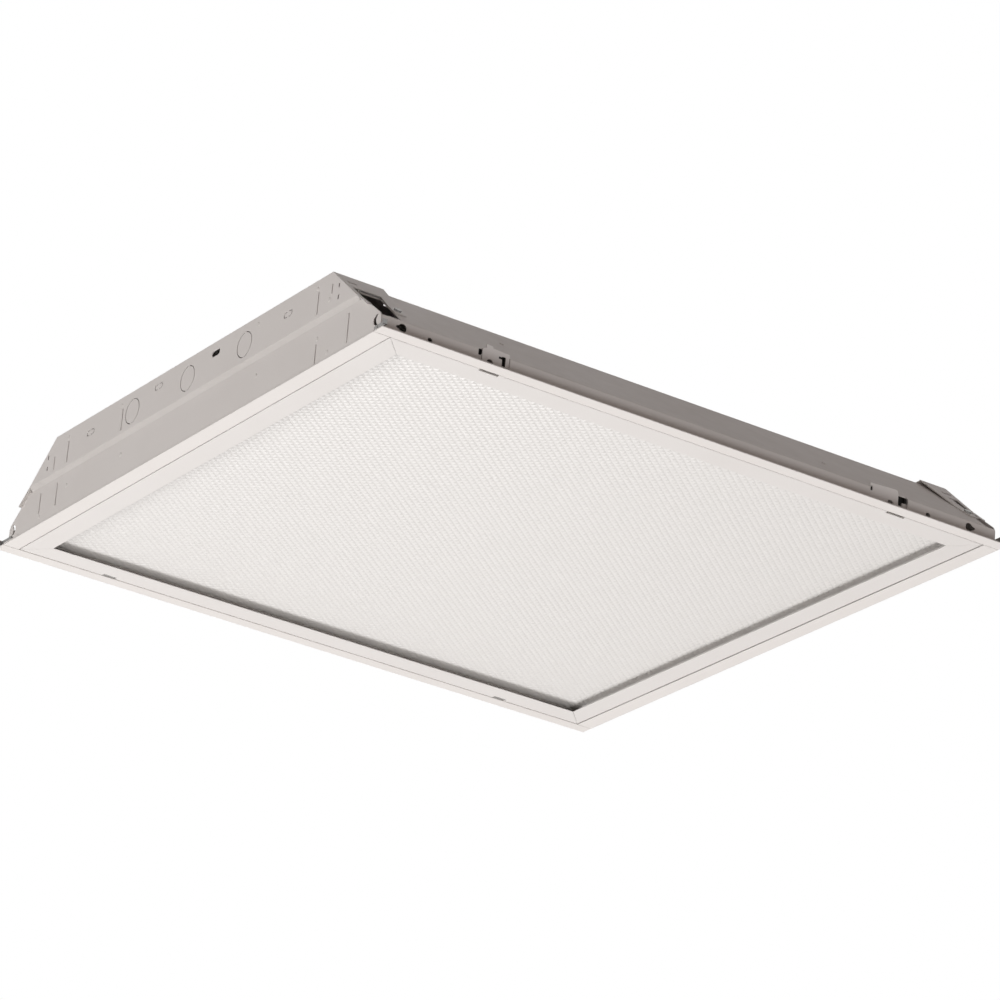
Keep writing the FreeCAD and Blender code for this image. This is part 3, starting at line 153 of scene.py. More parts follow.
# ---------------------------------------------------------------- node groups
# where an effect starts and where it is full: on a noise from 0 to 1, and on the normal's Z for FACING_UP
STAINED = (0.42, 0.78)
FACING_UP = (0.45, 0.98)
DUSTED = (0.3, 0.7)
RUBBED = (0.35, 0.7)
# noise waves to a metre
DUST_SCALE = 60.0
HAZE_SCALE = 9.0
RUBBED_SCALE = 180.0
MOULD_FLOW_SCALE = 40.0
# how many times finer and how strong the grit in a paint film is, against its waves
GRIT_FINENESS = 4.3
GRIT_SHARE = 0.25


def new_group(name, inputs, outputs):
    """An empty shader group with named sockets, its input and output nodes."""
    group = bpy.data.node_groups.new(name, "ShaderNodeTree")
    kinds = {"float": "NodeSocketFloat", "colour": "NodeSocketColor", "vector": "NodeSocketVector"}
    for label, (kind, default) in inputs.items():
        socket = group.interface.new_socket(name=label, in_out="INPUT", socket_type=kinds[kind])
        if default is not None:
            socket.default_value = default
    for label, kind in outputs.items():
        group.interface.new_socket(name=label, in_out="OUTPUT", socket_type=kinds[kind])
    entry = add_node(group, "NodeGroupInput", -900)
    leave = add_node(group, "NodeGroupOutput", 700)
    return group, entry.outputs, leave.inputs


def add_node(tree, kind, x=0, y=0, **settings):
    """A node of one kind at a place in the editor, with its own settings."""
    node = tree.nodes.new(kind)
    node.location = (x, y)
    for name, setting in settings.items():
        setattr(node, name, setting)
    return node


def feed(tree, socket, source):
    """Links a socket, or sets it where the source is a plain number or colour."""
    if isinstance(source, bpy.types.NodeSocket):
        tree.links.new(source, socket)
    else:
        socket.default_value = source


def math_node(tree, operation, first, second, x=0, y=0, clamp=False):
    node = add_node(tree, "ShaderNodeMath", x, y, operation=operation, use_clamp=clamp)
    feed(tree, node.inputs[0], first)
    feed(tree, node.inputs[1], second)
    return node.outputs[0]


def noise(tree, vector, scale, detail=2.0, x=0, y=0):
    node = add_node(tree, "ShaderNodeTexNoise", x, y)
    feed(tree, node.inputs["Vector"], vector)
    feed(tree, node.inputs["Scale"], scale)
    feed(tree, node.inputs["Detail"], detail)
    return node.outputs["Fac"]


def spread(tree, source, low, high, x=0, y=0):
    """The source stretched so that low becomes 0 and high becomes 1."""
    node = add_node(tree, "ShaderNodeMapRange", x, y)
    feed(tree, node.inputs["Value"], source)
    feed(tree, node.inputs["From Min"], low)
    feed(tree, node.inputs["From Max"], high)
    return node.outputs["Result"]


def blend_colour(tree, factor, first, second, x=0, y=0):
    node = add_node(tree, "ShaderNodeMix", x, y, data_type="RGBA")
    feed(tree, node.inputs["Factor"], factor)
    feed(tree, node.inputs["A"], first)
    feed(tree, node.inputs["B"], second)
    return [socket for socket in node.outputs if socket.type == "RGBA"][0]


def weathered_group():
    """A colour with faint stains, and dust on the faces that look up."""
    group, given, out = new_group("Weathered colour", {
        "Vector": ("vector", None), "Colour": ("colour", (0.8, 0.8, 0.8, 1)),
        "Stain": ("colour", (0.5, 0.45, 0.4, 1)), "Stain Scale": ("float", 14.0),
        "Stain Amount": ("float", 0.08), "Dust": ("colour", (0.52, 0.49, 0.45, 1)),
        "Dust Amount": ("float", 0.25)}, {"Colour": "colour", "Mask": "float"})
    patches = noise(group, given["Vector"], given["Stain Scale"], 5.0, -650, 200)
    stain = math_node(group, "MULTIPLY", spread(group, patches, *STAINED, -450, 200),
                      given["Stain Amount"], -250, 200)
    stained = blend_colour(group, stain, given["Colour"], given["Stain"], 0, 200)
    geometry = add_node(group, "ShaderNodeNewGeometry", -900, -300)
    split = add_node(group, "ShaderNodeSeparateXYZ", -700, -300)
    feed(group, split.inputs[0], geometry.outputs["Normal"])
    upward = spread(group, split.outputs["Z"], *FACING_UP, -500, -300)
    drift = spread(group, noise(group, given["Vector"], DUST_SCALE, 6.0, -650, -500), *DUSTED, -450, -500)
    settled = math_node(group, "MULTIPLY", upward, drift, -250, -400)
    dust = math_node(group, "MULTIPLY", settled, given["Dust Amount"], -50, -400)
    feed(group, out["Colour"], blend_colour(group, dust, stained, given["Dust"], 250, 100))
    feed(group, out["Mask"], math_node(group, "ADD", stain, dust, 250, -250, clamp=True))
    return group


def peel_group():
    """The waves of a sprayed paint film, with a finer grit over them."""
    group, given, out = new_group("Orange peel", {"Vector": ("vector", None), "Scale": ("float", 600.0)},
                                  {"Height": "float", "Haze": "float"})
    waves = noise(group, given["Vector"], given["Scale"], 1.0, -600, 200)
    finer = math_node(group, "MULTIPLY", given["Scale"], GRIT_FINENESS, -750, -50)
    grit = noise(group, given["Vector"], finer, 2.0, -600, -50)
    soft = math_node(group, "MULTIPLY", grit, GRIT_SHARE, -350, -50)
    feed(group, out["Height"], math_node(group, "ADD", waves, soft, -100, 100))
    feed(group, out["Haze"], noise(group, given["Vector"], HAZE_SCALE, 4.0, -600, -350))
    return group


def rolled_group():
    """Fine lines along X, as rolling and plating leave on bare sheet and wire."""
    group, given, out = new_group("Rolled grain", {"Vector": ("vector", None), "Scale": ("float", 1500.0),
                                                   "Stretch": ("float", 0.06)},
                                  {"Height": "float", "Mask": "float"})
    scale = add_node(group, "ShaderNodeCombineXYZ", -750, 100)
    feed(group, scale.inputs[0], given["Stretch"])
    scale.inputs[1].default_value = 1
    scale.inputs[2].default_value = 1
    drawn = add_node(group, "ShaderNodeVectorMath", -550, 100, operation="MULTIPLY")
    feed(group, drawn.inputs[0], given["Vector"])
    feed(group, drawn.inputs[1], scale.outputs[0])
    feed(group, out["Height"], noise(group, drawn.outputs[0], given["Scale"], 3.0, -300, 150))
    patches = noise(group, given["Vector"], RUBBED_SCALE, 4.0, -300, -100)
    feed(group, out["Mask"], spread(group, patches, *RUBBED, 0, -100))
    return group


def moulded_group():
    """The even pebbled skin of a moulded plastic."""
    group, given, out = new_group("Moulded grain", {"Vector": ("vector", None), "Scale": ("float", 1800.0)},
                                  {"Height": "float", "Mask": "float"})
    cells = add_node(group, "ShaderNodeTexVoronoi", -400, 150, feature="SMOOTH_F1")
    feed(group, cells.inputs["Vector"], given["Vector"])
    feed(group, cells.inputs["Scale"], given["Scale"])
    feed(group, out["Height"], cells.outputs["Distance"])
    feed(group, out["Mask"], noise(group, given["Vector"], MOULD_FLOW_SCALE, 3.0, -400, -150))
    return group


GROUP_MAKERS = {"Weathered colour": weathered_group, "Orange peel": peel_group,
                "Rolled grain": rolled_group, "Moulded grain": moulded_group}


def place_group(tree, name, x, y, **values):
    """A node that holds one of the shared groups, with its own values."""
    made = bpy.data.node_groups.get(name) or GROUP_MAKERS[name]()
    node = add_node(tree, "ShaderNodeGroup", x, y, node_tree=made)
    for label, value in values.items():
        feed(tree, node.inputs[label.replace("_", " ")], value)
    return node


# ---------------------------------------------------------------- materials
# each slot's material, filled in once the finishes are made
MATERIAL_NAMES = {}
PAINT_WEATHER = {"Stain_Amount": 0.07, "Dust_Amount": 0.25}
PAINT_ROUGHNESS = (0.46, 0.56)
PLASTIC_WEATHER = {"Stain_Amount": 0.05, "Dust_Amount": 0.15}
EDGE_SAMPLES = 4


def opaque(colour):
    return (*colour[:3], 1.0)


def new_material(name, grain, colour, weather, roughness, relief, edge_radius=0.0, shader=None):
    """A surface from a shared grain group, a weathered colour and plain shader values.

    grain is (group, values), weather the values of the weathered colour, roughness is
    (clean, worn) and relief the grain's depth in metres.
    """
    material = bpy.data.materials.new(name)
    material.use_nodes = True
    tree = material.node_tree
    tree.nodes.clear()
    output = add_node(tree, "ShaderNodeOutputMaterial", 900)
    surface = add_node(tree, "ShaderNodeBsdfPrincipled", 600)
    feed(tree, output.inputs["Surface"], surface.outputs[0])
    place = add_node(tree, "ShaderNodeTexCoord", -900).outputs["Object"]

    skin = place_group(tree, grain[0], -500, -300, Vector=place, **grain[1])
    tone = place_group(tree, "Weathered colour", -500, 200, Vector=place, Colour=opaque(colour), **weather)
    feed(tree, surface.inputs["Base Color"], tone.outputs["Colour"])
    haze = skin.outputs["Haze" if "Haze" in skin.outputs else "Mask"]
    wear = math_node(tree, "MULTIPLY", math_node(tree, "ADD", haze, tone.outputs["Mask"], -100, -50),
                     roughness[1] - roughness[0], 100, -50)
    feed(tree, surface.inputs["Roughness"], math_node(tree, "ADD", wear, roughness[0], 300, -50))
    bump = add_node(tree, "ShaderNodeBump", 300, -300)
    bump.inputs["Strength"].default_value = 1
    bump.inputs["Distance"].default_value = relief
    feed(tree, bump.inputs["Height"], skin.outputs["Height"])
    if edge_radius:
        rounding = add_node(tree, "ShaderNodeBevel", 100, -450, samples=EDGE_SAMPLES)
        rounding.inputs["Radius"].default_value = edge_radius
        feed(tree, bump.inputs["Normal"], rounding.outputs[0])
    feed(tree, surface.inputs["Normal"], bump.outputs[0])
    for label, value in (shader or {}).items():
        surface.inputs[label].default_value = value
    return material


def paint(name, colour, edge_scale=1.0, gloss=0.25):
    """A baked enamel; edge_scale widens or narrows the softness of its edges."""
    settings = bpy.context.scene.troffer_paint
    return new_material(name, ("Orange peel", {"Scale": 1 / settings.peel_width}), colour, PAINT_WEATHER,
                        PAINT_ROUGHNESS, settings.peel_depth, settings.edge_radius * edge_scale,
                        {"Specular IOR Level": gloss})


def make_materials():
    """Every finish, by the record's slot name."""
    paints = bpy.context.scene.troffer_paint
    fittings = bpy.context.scene.troffer_fittings
    lens = bpy.context.scene.troffer_lens
    return {
        "housing_paint": paint("Housing enamel", paints.housing, gloss=0.1),
        "end_paint": paint("End plate enamel", paints.ends, 2.5),
        "door_paint": paint("Door enamel", paints.door),
        "latch_steel": paint("Latch enamel", paints.latch, 0.6),
        "lens_acrylic": new_material("Prismatic acrylic", ("Moulded grain", {"Scale": 900.0}), lens.colour,
                                     {"Stain_Amount": 0.0, "Dust_Amount": 0.1}, (0.3, 0.36), 0.004 * MM,
                                     0, {"IOR": 1.49}),
        "plated_steel": new_material("Zinc plated steel", ("Rolled grain", {}), fittings.steel,
                                     {"Stain_Amount": 0.3, "Stain_Scale": 220.0, "Dust_Amount": 0.15},
                                     (0.38, 0.58), 0.02 * MM, 0.15 * MM, {"Metallic": 1.0}),
        # the guides are real nylon parts, made near-black as painted shade so that the gaps at the latch
        # grips read dark
        "guide_plastic": new_material("Black nylon", ("Moulded grain", {}), (0.035, 0.034, 0.033),
                                      PLASTIC_WEATHER, (0.45, 0.6), 0.02 * MM, 0.3 * MM),
        "board_white": new_material("White solder mask", ("Rolled grain", {"Scale": 700.0, "Stretch": 0.02}),
                                    (0.84, 0.84, 0.80), PLASTIC_WEATHER, (0.3, 0.45), 0.03 * MM,
                                    0.1 * MM),
        "led_yellow": new_material("Phosphor", ("Moulded grain", {"Scale": 5000.0}), fittings.phosphor,
                                   PLASTIC_WEATHER, (0.35, 0.5), 0.02 * MM, 0, {"Coat Weight": 0.4}),
        "driver_case": new_material("Driver enamel", ("Moulded grain", {}), (0.74, 0.74, 0.73),
                                    PLASTIC_WEATHER, (0.35, 0.5), 0.02 * MM, 0.6 * MM),
        "connector_plastic": new_material("Connector nylon", ("Moulded grain", {"Scale": 3000.0}),
                                          (0.80, 0.78, 0.72), PLASTIC_WEATHER, (0.4, 0.55), 0.01 * MM,
                                          0.15 * MM),
        "wire_jacket": new_material("Wire jacket", ("Moulded grain", {"Scale": 3500.0}),
                                    (0.74, 0.73, 0.71), PLASTIC_WEATHER, (0.42, 0.6), 0.01 * MM),
    }


def material_for(slot):
    """The material made for a slot of the record."""
    return bpy.data.materials[MATERIAL_NAMES[slot]]


# ---------------------------------------------------------------- mesh helpers
# metres within which two corners are one
MERGE_REACH = 1e-6
FINE_MERGE_REACH = 1e-7


def keep_piece(name, work, node, slots):
    """Makes an object of the bmesh that stands for a node, on the node's body and in its finish."""
    mesh = bpy.data.meshes.new(name)
    work.to_mesh(mesh)
    work.free()
    piece = bpy.data.objects.new(name, mesh)
    bpy.context.scene.collection.objects.link(piece)
    for slot in slots:
        mesh.materials.append(material_for(slot))
    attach(piece, NODES[node]["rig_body"])
    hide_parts(node)


def solids_of(node):
    """The low and high corners of each separate solid in a CAD node, in order of place."""
    work = bmesh.new()
    work.from_mesh(NODES[node].data)
    bmesh.ops.remove_doubles(work, verts=work.verts, dist=MERGE_REACH)
    waiting = set(work.verts)
    boxes = []
    while waiting:
        front = [waiting.pop()]
        members = list(front)
        while front:
            for edge in front.pop().link_edges:
                for vert in edge.verts:
                    if vert in waiting:
                        waiting.discard(vert)
                        front.append(vert)
                        members.append(vert)
        low, high = (Vector([choose(vert.co[axis] for vert in members) for axis in range(3)])
                     for choose in (min, max))
        boxes.append((low, high))
    work.free()
    return sorted(boxes, key=lambda box: tuple(box[0]))


def stamp(work, pattern, placement):
    """Adds a copy of the pattern mesh to the bmesh, moved by a matrix."""
    before = len(work.verts)
    work.from_mesh(pattern)
    work.verts.ensure_lookup_table()
    bmesh.ops.transform(work, matrix=placement, verts=work.verts[before:])


def turned(points, work, segments):
    """Spins a profile of (radius, height) points round Z into a closed solid."""
    verts = [work.verts.new((radius, 0, height)) for radius, height in points]
    edges = [work.edges.new(pair) for pair in zip(verts, verts[1:])]
    bmesh.ops.spin(work, geom=verts + edges, cent=(0, 0, 0), axis=(0, 0, 1), angle=math.tau,
                   steps=segments, use_merge=True)
    bmesh.ops.remove_doubles(work, verts=work.verts, dist=FINE_MERGE_REACH)
    bmesh.ops.recalc_face_normals(work, faces=work.faces)


# ---------------------------------------------------------------- lens
def prismatic_lens(settings):
    """A panel whose lower face is a field of four sided prisms in slanting rows."""
    low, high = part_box("lens")
    work = bmesh.new()
    reach = (high - low).length / 2 + settings.pitch
    cells = math.ceil(2 * reach / settings.pitch)
    half = cells * settings.pitch / 2
    valley = low.z + settings.depth
    bmesh.ops.create_grid(work, x_segments=cells, y_segments=cells, size=half,
                          matrix=Matrix.Rotation(settings.turn, 4, "Z"))
    bmesh.ops.reverse_faces(work, faces=work.faces)
    bmesh.ops.scale(work, verts=work.verts, vec=(settings.stretch, 1, 1))
    bmesh.ops.translate(work, verts=work.verts, vec=(0, 0, valley))
    bmesh.ops.poke(work, faces=work.faces, offset=settings.depth, center_mode="MEAN")
    for axis in (0, 1):
        for corner, sign in ((low, -1), (high, 1)):
            outwards = Vector((0, 0, 0))
            outwards[axis] = sign
            geometry = work.verts[:] + work.edges[:] + work.faces[:]
            bmesh.ops.bisect_plane(work, geom=geometry, dist=FINE_MERGE_REACH, plane_co=corner,
                                   plane_no=outwards, clear_outer=True)
    bmesh.ops.remove_doubles(work, verts=work.verts, dist=MERGE_REACH)
    rim = [edge for edge in work.edges if edge.is_boundary]
    risen = bmesh.ops.extrude_edge_only(work, edges=rim)["geom"]
    lifted = [item for item in risen if isinstance(item, bmesh.types.BMVert)]
    for vert in lifted:
        vert.co.z = high.z
    top = [edge for edge in work.edges if edge.is_boundary]
    bmesh.ops.contextual_create(work, geom=top)
    bmesh.ops.recalc_face_normals(work, faces=work.faces)
    keep_piece("prismatic_lens", work, "lens", ["lens_acrylic"])


# ---------------------------------------------------------------- screws and rivets
# which way a screw's head faces: 1 up, -1 down
SCREW_SEATS = {"board_screws": -1, "cover_screws": -1, "driver_screws": -1, "ground_screw": -1,
               "access_screws": 1}
# a screw's head and shank, as shares of the head's radius
HEAD_HEIGHT = 0.48
SHANK_RADIUS = 0.51
# the head, as shares of its height
HEAD_CROWN = 0.55
HEAD_SIDE = 0.22
RECESS_DEPTH = 0.6
# cells along a side of the grid that the head starts from
RECESS_CELLS = 5
# the cross is the cells this near the middle and this near one of its lines, on a head of radius 1
RECESS_REACH = 0.5
RECESS_LINE = 0.1
# how far the grid draws in around the cross, and the cross's floor within its mouth
RING_SHRINK = 0.85
RECESS_TAPER = 0.7
# steps round the thread, and how far it reaches up into the head
THREAD_STEPS = 12
THREAD_OVERLAP = 0.2 * MM
# the thread's radii, as shares of the shank's, from its top to its tip
THREAD_TOP = 0.86
THREAD_ROOT = 0.82
THREAD_TIP = 0.45
# where a turn's crest and root lie, as shares of the turn
CREST_PLACE = 0.45
ROOT_PLACE = 0.9
# radians that a recess turns for each metre along the part, so that they don't all stand alike
RECESS_TURN = 37
# axis of the rivets, how far their heads' domes rise, and the shank's share of the head's radius
RIVETS = {"hinge_rivets": (1, 0.6 * MM, 0.5), "clip_rivets": (0, 0.8 * MM, 1 / 1.7)}
# a rivet head's outline from its middle out: share of the radius and drop in shares of the dome
RIVET_DOME = ((0, 0), (0.45, 0.06), (0.8, 0.35), (1, 0.8), (1, 1))
# the tail's bevelled end: its height, and its radius as a share of the shank's
RIVET_TAIL = 0.1 * MM
RIVET_TAIL_TAPER = 0.85


def screw_pattern(head_radius, head_height, shank_radius, shank_length, pitch):
    """A pan head screw with a cross recess; its head's seat is at z = 0 and its head above."""
    work = bmesh.new()
    bmesh.ops.create_grid(work, x_segments=RECESS_CELLS, y_segments=RECESS_CELLS, size=1)
    border = 1 - 1 / RECESS_CELLS
    for vert in work.verts:
        ring = max(abs(vert.co.x), abs(vert.co.y))
        if ring > border:
            vert.co = vert.co.normalized()
        elif ring > 0:
            vert.co *= RING_SHRINK
        vert.co.z = head_height * (1 - HEAD_CROWN * vert.co.length_squared) / head_radius
    cross = [face for face in work.faces if face.calc_center_median().xy.length < RECESS_REACH
             and min(abs(part) for part in face.calc_center_median().xy) < RECESS_LINE]
    sunk = bmesh.ops.extrude_face_region(work, geom=cross)["geom"]
    floor = [item for item in sunk if isinstance(item, bmesh.types.BMVert)]
    bmesh.ops.delete(work, geom=cross, context="FACES_ONLY")
    bmesh.ops.translate(work, verts=floor, vec=(0, 0, -RECESS_DEPTH * head_height / head_radius))
    bmesh.ops.scale(work, verts=floor, vec=(RECESS_TAPER, RECESS_TAPER, 1))
    bmesh.ops.scale(work, verts=work.verts, vec=(head_radius,) * 3)
    for share, rise in ((1.0, HEAD_SIDE), (1.0, 0.0), (shank_radius / head_radius, 0.0)):
        rim = [edge for edge in work.edges if edge.is_boundary]
        grown = bmesh.ops.extrude_edge_only(work, edges=rim)["geom"]
        for vert in (item for item in grown if isinstance(item, bmesh.types.BMVert)):
            flat = vert.co.xy.normalized() * head_radius * share
            vert.co = (flat.x, flat.y, head_height * rise)
    bmesh.ops.contextual_create(work, geom=[edge for edge in work.edges if edge.is_boundary])
    turns = max(int(shank_length / pitch), 1)
    step = shank_length / (turns + 1)
    profile = [(0, THREAD_OVERLAP), (THREAD_TOP * shank_radius, THREAD_OVERLAP)]
    for turn in range(turns):
        profile += [(shank_radius, -(turn + CREST_PLACE) * step),
                    (THREAD_ROOT * shank_radius, -(turn + ROOT_PLACE) * step)]
    profile += [(THREAD_TIP * shank_radius, -shank_length), (0, -shank_length)]
    turned(profile, work, THREAD_STEPS)
    pattern = bpy.data.meshes.new("screw_pattern")
    work.to_mesh(pattern)
    work.free()
    return pattern


def dress_screws(settings):
    """Threaded screws with cross recesses in place of the plain ones."""
    for node, up in SCREW_SEATS.items():
        work = bmesh.new()
        for low, high in solids_of(node):
            head_radius = (high.x - low.x) / 2
            length = high.z - low.z
            head_height = HEAD_HEIGHT * head_radius
            pattern = screw_pattern(head_radius, head_height, SHANK_RADIUS * head_radius,
                                    length - head_height, settings.thread_pitch)
            centre = (low + high) / 2
            seat = (high.z - head_height) if up > 0 else (low.z + head_height)
            place = Matrix.Translation((centre.x, centre.y, seat))
            if up < 0:
                place @= Matrix.Rotation(math.pi, 4, "X")
            stamp(work, pattern, place @ Matrix.Rotation(centre.x * RECESS_TURN, 4, "Z"))
            bpy.data.meshes.remove(pattern)
        keep_piece("dressed_" + node, work, node, ["plated_steel"])


def dress_rivets(settings):
    """Domed heads on the hinge and clip rivets, with their tails set behind the sheet."""
    for node, (axis, dome, shank_share) in RIVETS.items():
        work = bmesh.new()
        for low, high in solids_of(node):
            centre = (low + high) / 2
            outwards = 1 if centre[axis] > 0 else -1
            radius = (high.z - low.z) / 2
            length = high[axis] - low[axis]
            shank = shank_share * radius
            profile = [(reach * radius, length - drop * dome) for reach, drop in RIVET_DOME]
            profile += [(shank, length - dome), (shank, RIVET_TAIL), (RIVET_TAIL_TAPER * shank, 0), (0, 0)]
            part = bmesh.new()
            turned(profile, part, settings.head_segments)
            pattern = bpy.data.meshes.new("rivet_pattern")
            part.to_mesh(pattern)
            part.free()
            root = centre.copy()
            root[axis] = low[axis] if outwards > 0 else high[axis]
            aim = Vector((0, 0, 0))
            aim[axis] = outwards
            turn = aim.to_track_quat("Z", "Y").to_matrix().to_4x4()
            stamp(work, pattern, Matrix.Translation(root) @ turn)
            bpy.data.meshes.remove(pattern)
        keep_piece("dressed_" + node, work, node, ["plated_steel"])


# ---------------------------------------------------------------- light source
# a package's rounded corners, the wall round its window and the window's slope, as shares of its width
CUP_CORNER = 0.1
CUP_WALL = 0.12
WINDOW_SLOPE = 0.03
# how far its window sinks, as a share of its height
WINDOW_DEPTH = 0.12
# normal's Z under which a face looks down, and how near the middle and how large the window then is
LOOKS_DOWN = -0.9
WINDOW_REACH = 0.05
WINDOW_AREA = 0.3


def led_pattern(size, height):
    """One package, facing down: a cup in the first finish with a sunk window in the second."""
    work = bmesh.new()
    bmesh.ops.create_cube(work, size=1, matrix=Matrix.Diagonal((size, size, height, 1)))
    bmesh.ops.translate(work, verts=work.verts, vec=(0, 0, -height / 2))
    upright = [edge for edge in work.edges if abs(edge.verts[0].co.z - edge.verts[1].co.z) > height / 2]
    bmesh.ops.bevel(work, geom=upright, offset=CUP_CORNER * size, offset_type="OFFSET", segments=2,
                    profile=0.5, affect="EDGES", material=-1)
    mouth = [face for face in work.faces if face.normal.z < LOOKS_DOWN]
    bmesh.ops.inset_region(work, faces=mouth, thickness=CUP_WALL * size, depth=0)
    window = [face for face in work.faces if face.normal.z < LOOKS_DOWN
              and face.calc_center_median().xy.length < WINDOW_REACH * size
              and face.calc_area() > WINDOW_AREA * size ** 2]
    bmesh.ops.inset_region(work, faces=window, thickness=WINDOW_SLOPE * size, depth=-WINDOW_DEPTH * height)
    for face in window:
        face.material_index = 1
    pattern = bpy.data.meshes.new("led_pattern")
    work.to_mesh(pattern)
    work.free()
    return pattern


def dress_packages():
    """The rows of LED packages: cups of the phosphor's colour with white windows."""
    rows = sorted(name for name in NODES if name.startswith("led_packages_"))
    low, high = solids_of(rows[0])[0]
    pattern = led_pattern(high.x - low.x, high.z - low.z)
    for node in rows:
        work = bmesh.new()
        for low, high in solids_of(node):
            middle = (low + high) / 2
            stamp(work, pattern, Matrix.Translation((middle.x, middle.y, high.z)))
        keep_piece("dressed_" + node, work, node, ["led_yellow", "board_white"])
    bpy.data.meshes.remove(pattern)


# ---------------------------------------------------------------- stage
# the photograph's camera: its place in metres and its axes
CAMERA_PLACE = Vector((-2.10974, -3.37375, -1.64245))
CAMERA_RIGHT = Vector((0.82696916, -0.55688012, 0.07750186))
CAMERA_DOWN = Vector((0.27766288, 0.2846345, -0.91754375))
CAMERA_FORWARD = Vector((0.48890217, 0.78029977, 0.39000889))
CAMERA_LENS_MM = 187.85
CAMERA_SENSOR_MM = 36
CAMERA_REACH = 100
FLOOR_REACH = 30
FLOOR_COLOUR = (0.86, 0.85, 0.84, 1)
# the share of the floor's own light in what the camera sees of it
FLOOR_GLOW = 0.7
LAMPS = {
    # name: (direction from the object, distance, size)
    "key": (Vector((0.12, 0.50, -0.86)), 3.0, 1.5),
    "side": (Vector((-0.90, 0.10, -0.42)), 3.0, 1.4),
    "front": (Vector((0.0, -0.75, -0.66)), 3.0, 1.2),
    "back": (Vector((0.25, 0.85, 0.50)), 3.0, 1.5),
}


def set_camera():
    """A camera at the place and with the lens worked out for the photograph."""
    data = bpy.data.cameras.new("photo_camera")
    data.sensor_width = CAMERA_SENSOR_MM
    data.lens = CAMERA_LENS_MM
    data.clip_end = CAMERA_REACH
    camera = bpy.data.objects.new("photo_camera", data)
    bpy.context.scene.collection.objects.link(camera)
    turn = Matrix((CAMERA_RIGHT, -CAMERA_DOWN, -CAMERA_FORWARD)).transposed()
    camera.matrix_world = Matrix.Translation(CAMERA_PLACE) @ turn.to_4x4()
    bpy.context.scene.camera = camera


def set_lamps(settings):
    """Square lamps that face the object and aren't seen themselves."""
    for name, (direction, distance, size) in LAMPS.items():
        data = bpy.data.lights.new(name + "_lamp", "AREA")
        data.shape = "SQUARE"
        data.size = size
        data.energy = getattr(settings, name + "_power")
        lamp = bpy.data.objects.new(data.name, data)
        bpy.context.scene.collection.objects.link(lamp)
        place = direction.normalized() * distance
        lamp.matrix_world = Matrix.Translation(place) @ place.to_track_quat("Z", "Y").to_matrix().to_4x4()
        lamp.visible_camera = False


def seen_rays(tree):
    """1 on camera, glossy and transmission rays, and 0 on the rays that light the object."""
    path = add_node(tree, "ShaderNodeLightPath", -800)
    kinds = ("Camera", "Glossy", "Transmission")
    camera, glossy, through = (path.outputs[f"Is {kind} Ray"] for kind in kinds)
    seen = math_node(tree, "ADD", camera, glossy, -550)
    return math_node(tree, "ADD", seen, through, -350, clamp=True)


def set_world(settings):
    """The room's dim light, which the seen rays meet as plain white."""
    world = bpy.data.worlds.new("studio")
    bpy.context.scene.world = world
    world.use_nodes = True
    tree = world.node_tree
    tree.nodes.clear()
    room = add_node(tree, "ShaderNodeBackground", -200, 100)
    feed(tree, room.inputs["Color"], opaque(settings.world_colour))
    feed(tree, room.inputs["Strength"], settings.world_strength)
    white = add_node(tree, "ShaderNodeBackground", -200, -100)
    feed(tree, white.inputs["Color"], (1, 1, 1, 1))
    mixed = add_node(tree, "ShaderNodeMixShader", 100)
    feed(tree, mixed.inputs[0], seen_rays(tree))
    feed(tree, mixed.inputs[1], room.outputs[0])
    feed(tree, mixed.inputs[2], white.outputs[0])
    output = add_node(tree, "ShaderNodeOutputWorld", 300)
    feed(tree, output.inputs["Surface"], mixed.outputs[0])


def set_floor(settings):
    """A pale floor far below, partly lit by its own light where the camera sees it."""
    work = bmesh.new()
    bmesh.ops.create_grid(work, x_segments=8, y_segments=8, size=FLOOR_REACH,
                          matrix=Matrix.Translation((0, 0, -settings.floor_drop)))
    mesh = bpy.data.meshes.new("studio_floor")
    work.to_mesh(mesh)
    work.free()
    floor = bpy.data.objects.new("studio_floor", mesh)
    bpy.context.scene.collection.objects.link(floor)
    material = bpy.data.materials.new("Studio floor")
    material.use_nodes = True
    tree = material.node_tree
    tree.nodes.clear()
    matte = add_node(tree, "ShaderNodeBsdfDiffuse", -200, 100)
    feed(tree, matte.inputs["Color"], FLOOR_COLOUR)
    glow = add_node(tree, "ShaderNodeEmission", -200, -100)
    mixed = add_node(tree, "ShaderNodeMixShader", 100)
    feed(tree, mixed.inputs[0], math_node(tree, "MULTIPLY", seen_rays(tree), FLOOR_GLOW, -300, 300))
    feed(tree, mixed.inputs[1], matte.outputs[0])
    feed(tree, mixed.inputs[2], glow.outputs[0])
    output = add_node(tree, "ShaderNodeOutputMaterial", 300)
    feed(tree, output.inputs["Surface"], mixed.outputs[0])
    mesh.materials.append(material)


# ---------------------------------------------------------------- operators
class TROFFER_OT_finishes(bpy.types.Operator):
    """Makes the finishes and puts each CAD node's own on it."""

    bl_idname = "troffer.finishes"
    bl_label = "Finishes"

    def execute(self, context):
        for slot, material in make_materials().items():
            MATERIAL_NAMES[slot] = material.name
        for entry in frame["record"]["subparts"]:
            data = NODES[entry["node"]].data
            data.materials.clear()
            data.materials.append(material_for(entry["material_slot"]))
        return {"FINISHED"}


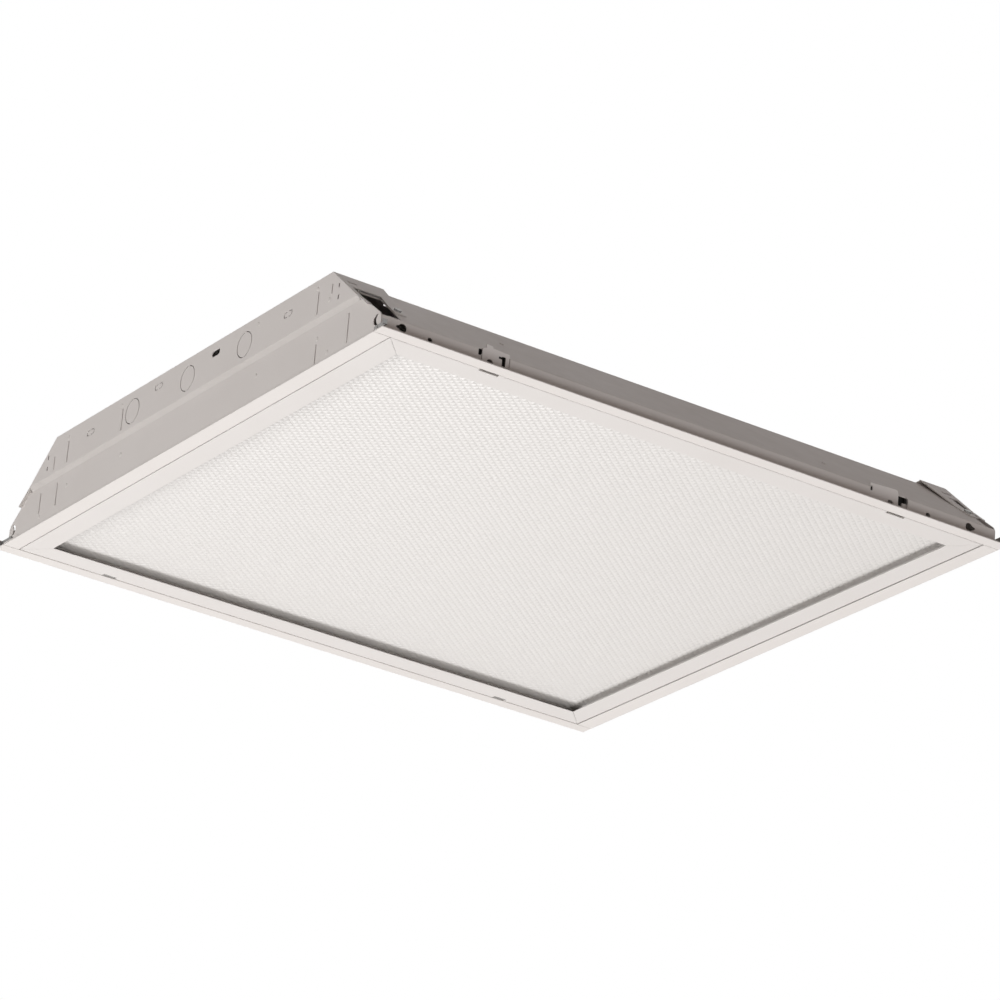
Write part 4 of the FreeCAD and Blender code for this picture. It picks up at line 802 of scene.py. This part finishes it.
class TROFFER_OT_lens(bpy.types.Operator):
    """Makes the prismatic lens."""

    bl_idname = "troffer.lens"
    bl_label = "Prismatic lens"

    def execute(self, context):
        prismatic_lens(context.scene.troffer_lens)
        return {"FINISHED"}


class TROFFER_OT_fasteners(bpy.types.Operator):
    """Makes the screws and rivets."""

    bl_idname = "troffer.fasteners"
    bl_label = "Screws and rivets"

    def execute(self, context):
        dress_screws(context.scene.troffer_fittings)
        dress_rivets(context.scene.troffer_fittings)
        return {"FINISHED"}


class TROFFER_OT_light_source(bpy.types.Operator):
    """Makes the LED packages on the boards."""

    bl_idname = "troffer.light_source"
    bl_label = "Light source"

    def execute(self, context):
        dress_packages()
        return {"FINISHED"}


class TROFFER_OT_stage(bpy.types.Operator):
    """Sets the floor, the lamps, the world and the photograph's camera."""

    bl_idname = "troffer.stage"
    bl_label = "Stage"

    def execute(self, context):
        settings = context.scene.troffer_stage
        set_camera()
        set_lamps(settings)
        set_world(settings)
        set_floor(settings)
        context.scene.view_settings.view_transform = "Standard"
        return {"FINISHED"}


OPERATORS = [TROFFER_OT_finishes, TROFFER_OT_lens, TROFFER_OT_fasteners, TROFFER_OT_light_source,
             TROFFER_OT_stage]


class TROFFER_PT_build(bpy.types.Panel):
    """Lists the steps and their settings."""

    bl_idname = "TROFFER_PT_build"
    bl_label = "Recessed troffer light"
    bl_space_type = "VIEW_3D"
    bl_region_type = "UI"
    bl_category = "Troffer"

    def draw(self, context):
        for step in OPERATORS:
            self.layout.operator(step.bl_idname)
        for name, kind in SETTINGS.items():
            box = self.layout.box()
            box.label(text=kind.__doc__)
            for prop in kind.__annotations__:
                box.prop(getattr(context.scene, name), prop)


CLASSES = [*SETTINGS.values(), *OPERATORS, TROFFER_PT_build]


def register():
    for item in CLASSES:
        bpy.utils.register_class(item)
    for name, kind in SETTINGS.items():
        setattr(bpy.types.Scene, name, PointerProperty(type=kind))


def unregister():
    for name in SETTINGS:
        delattr(bpy.types.Scene, name)
    for item in reversed(CLASSES):
        bpy.utils.unregister_class(item)


def main():
    register()
    for step in OPERATORS:
        group, name = step.bl_idname.split(".")
        getattr(getattr(bpy.ops, group), name)()


if __name__ == "__main__":
    main()
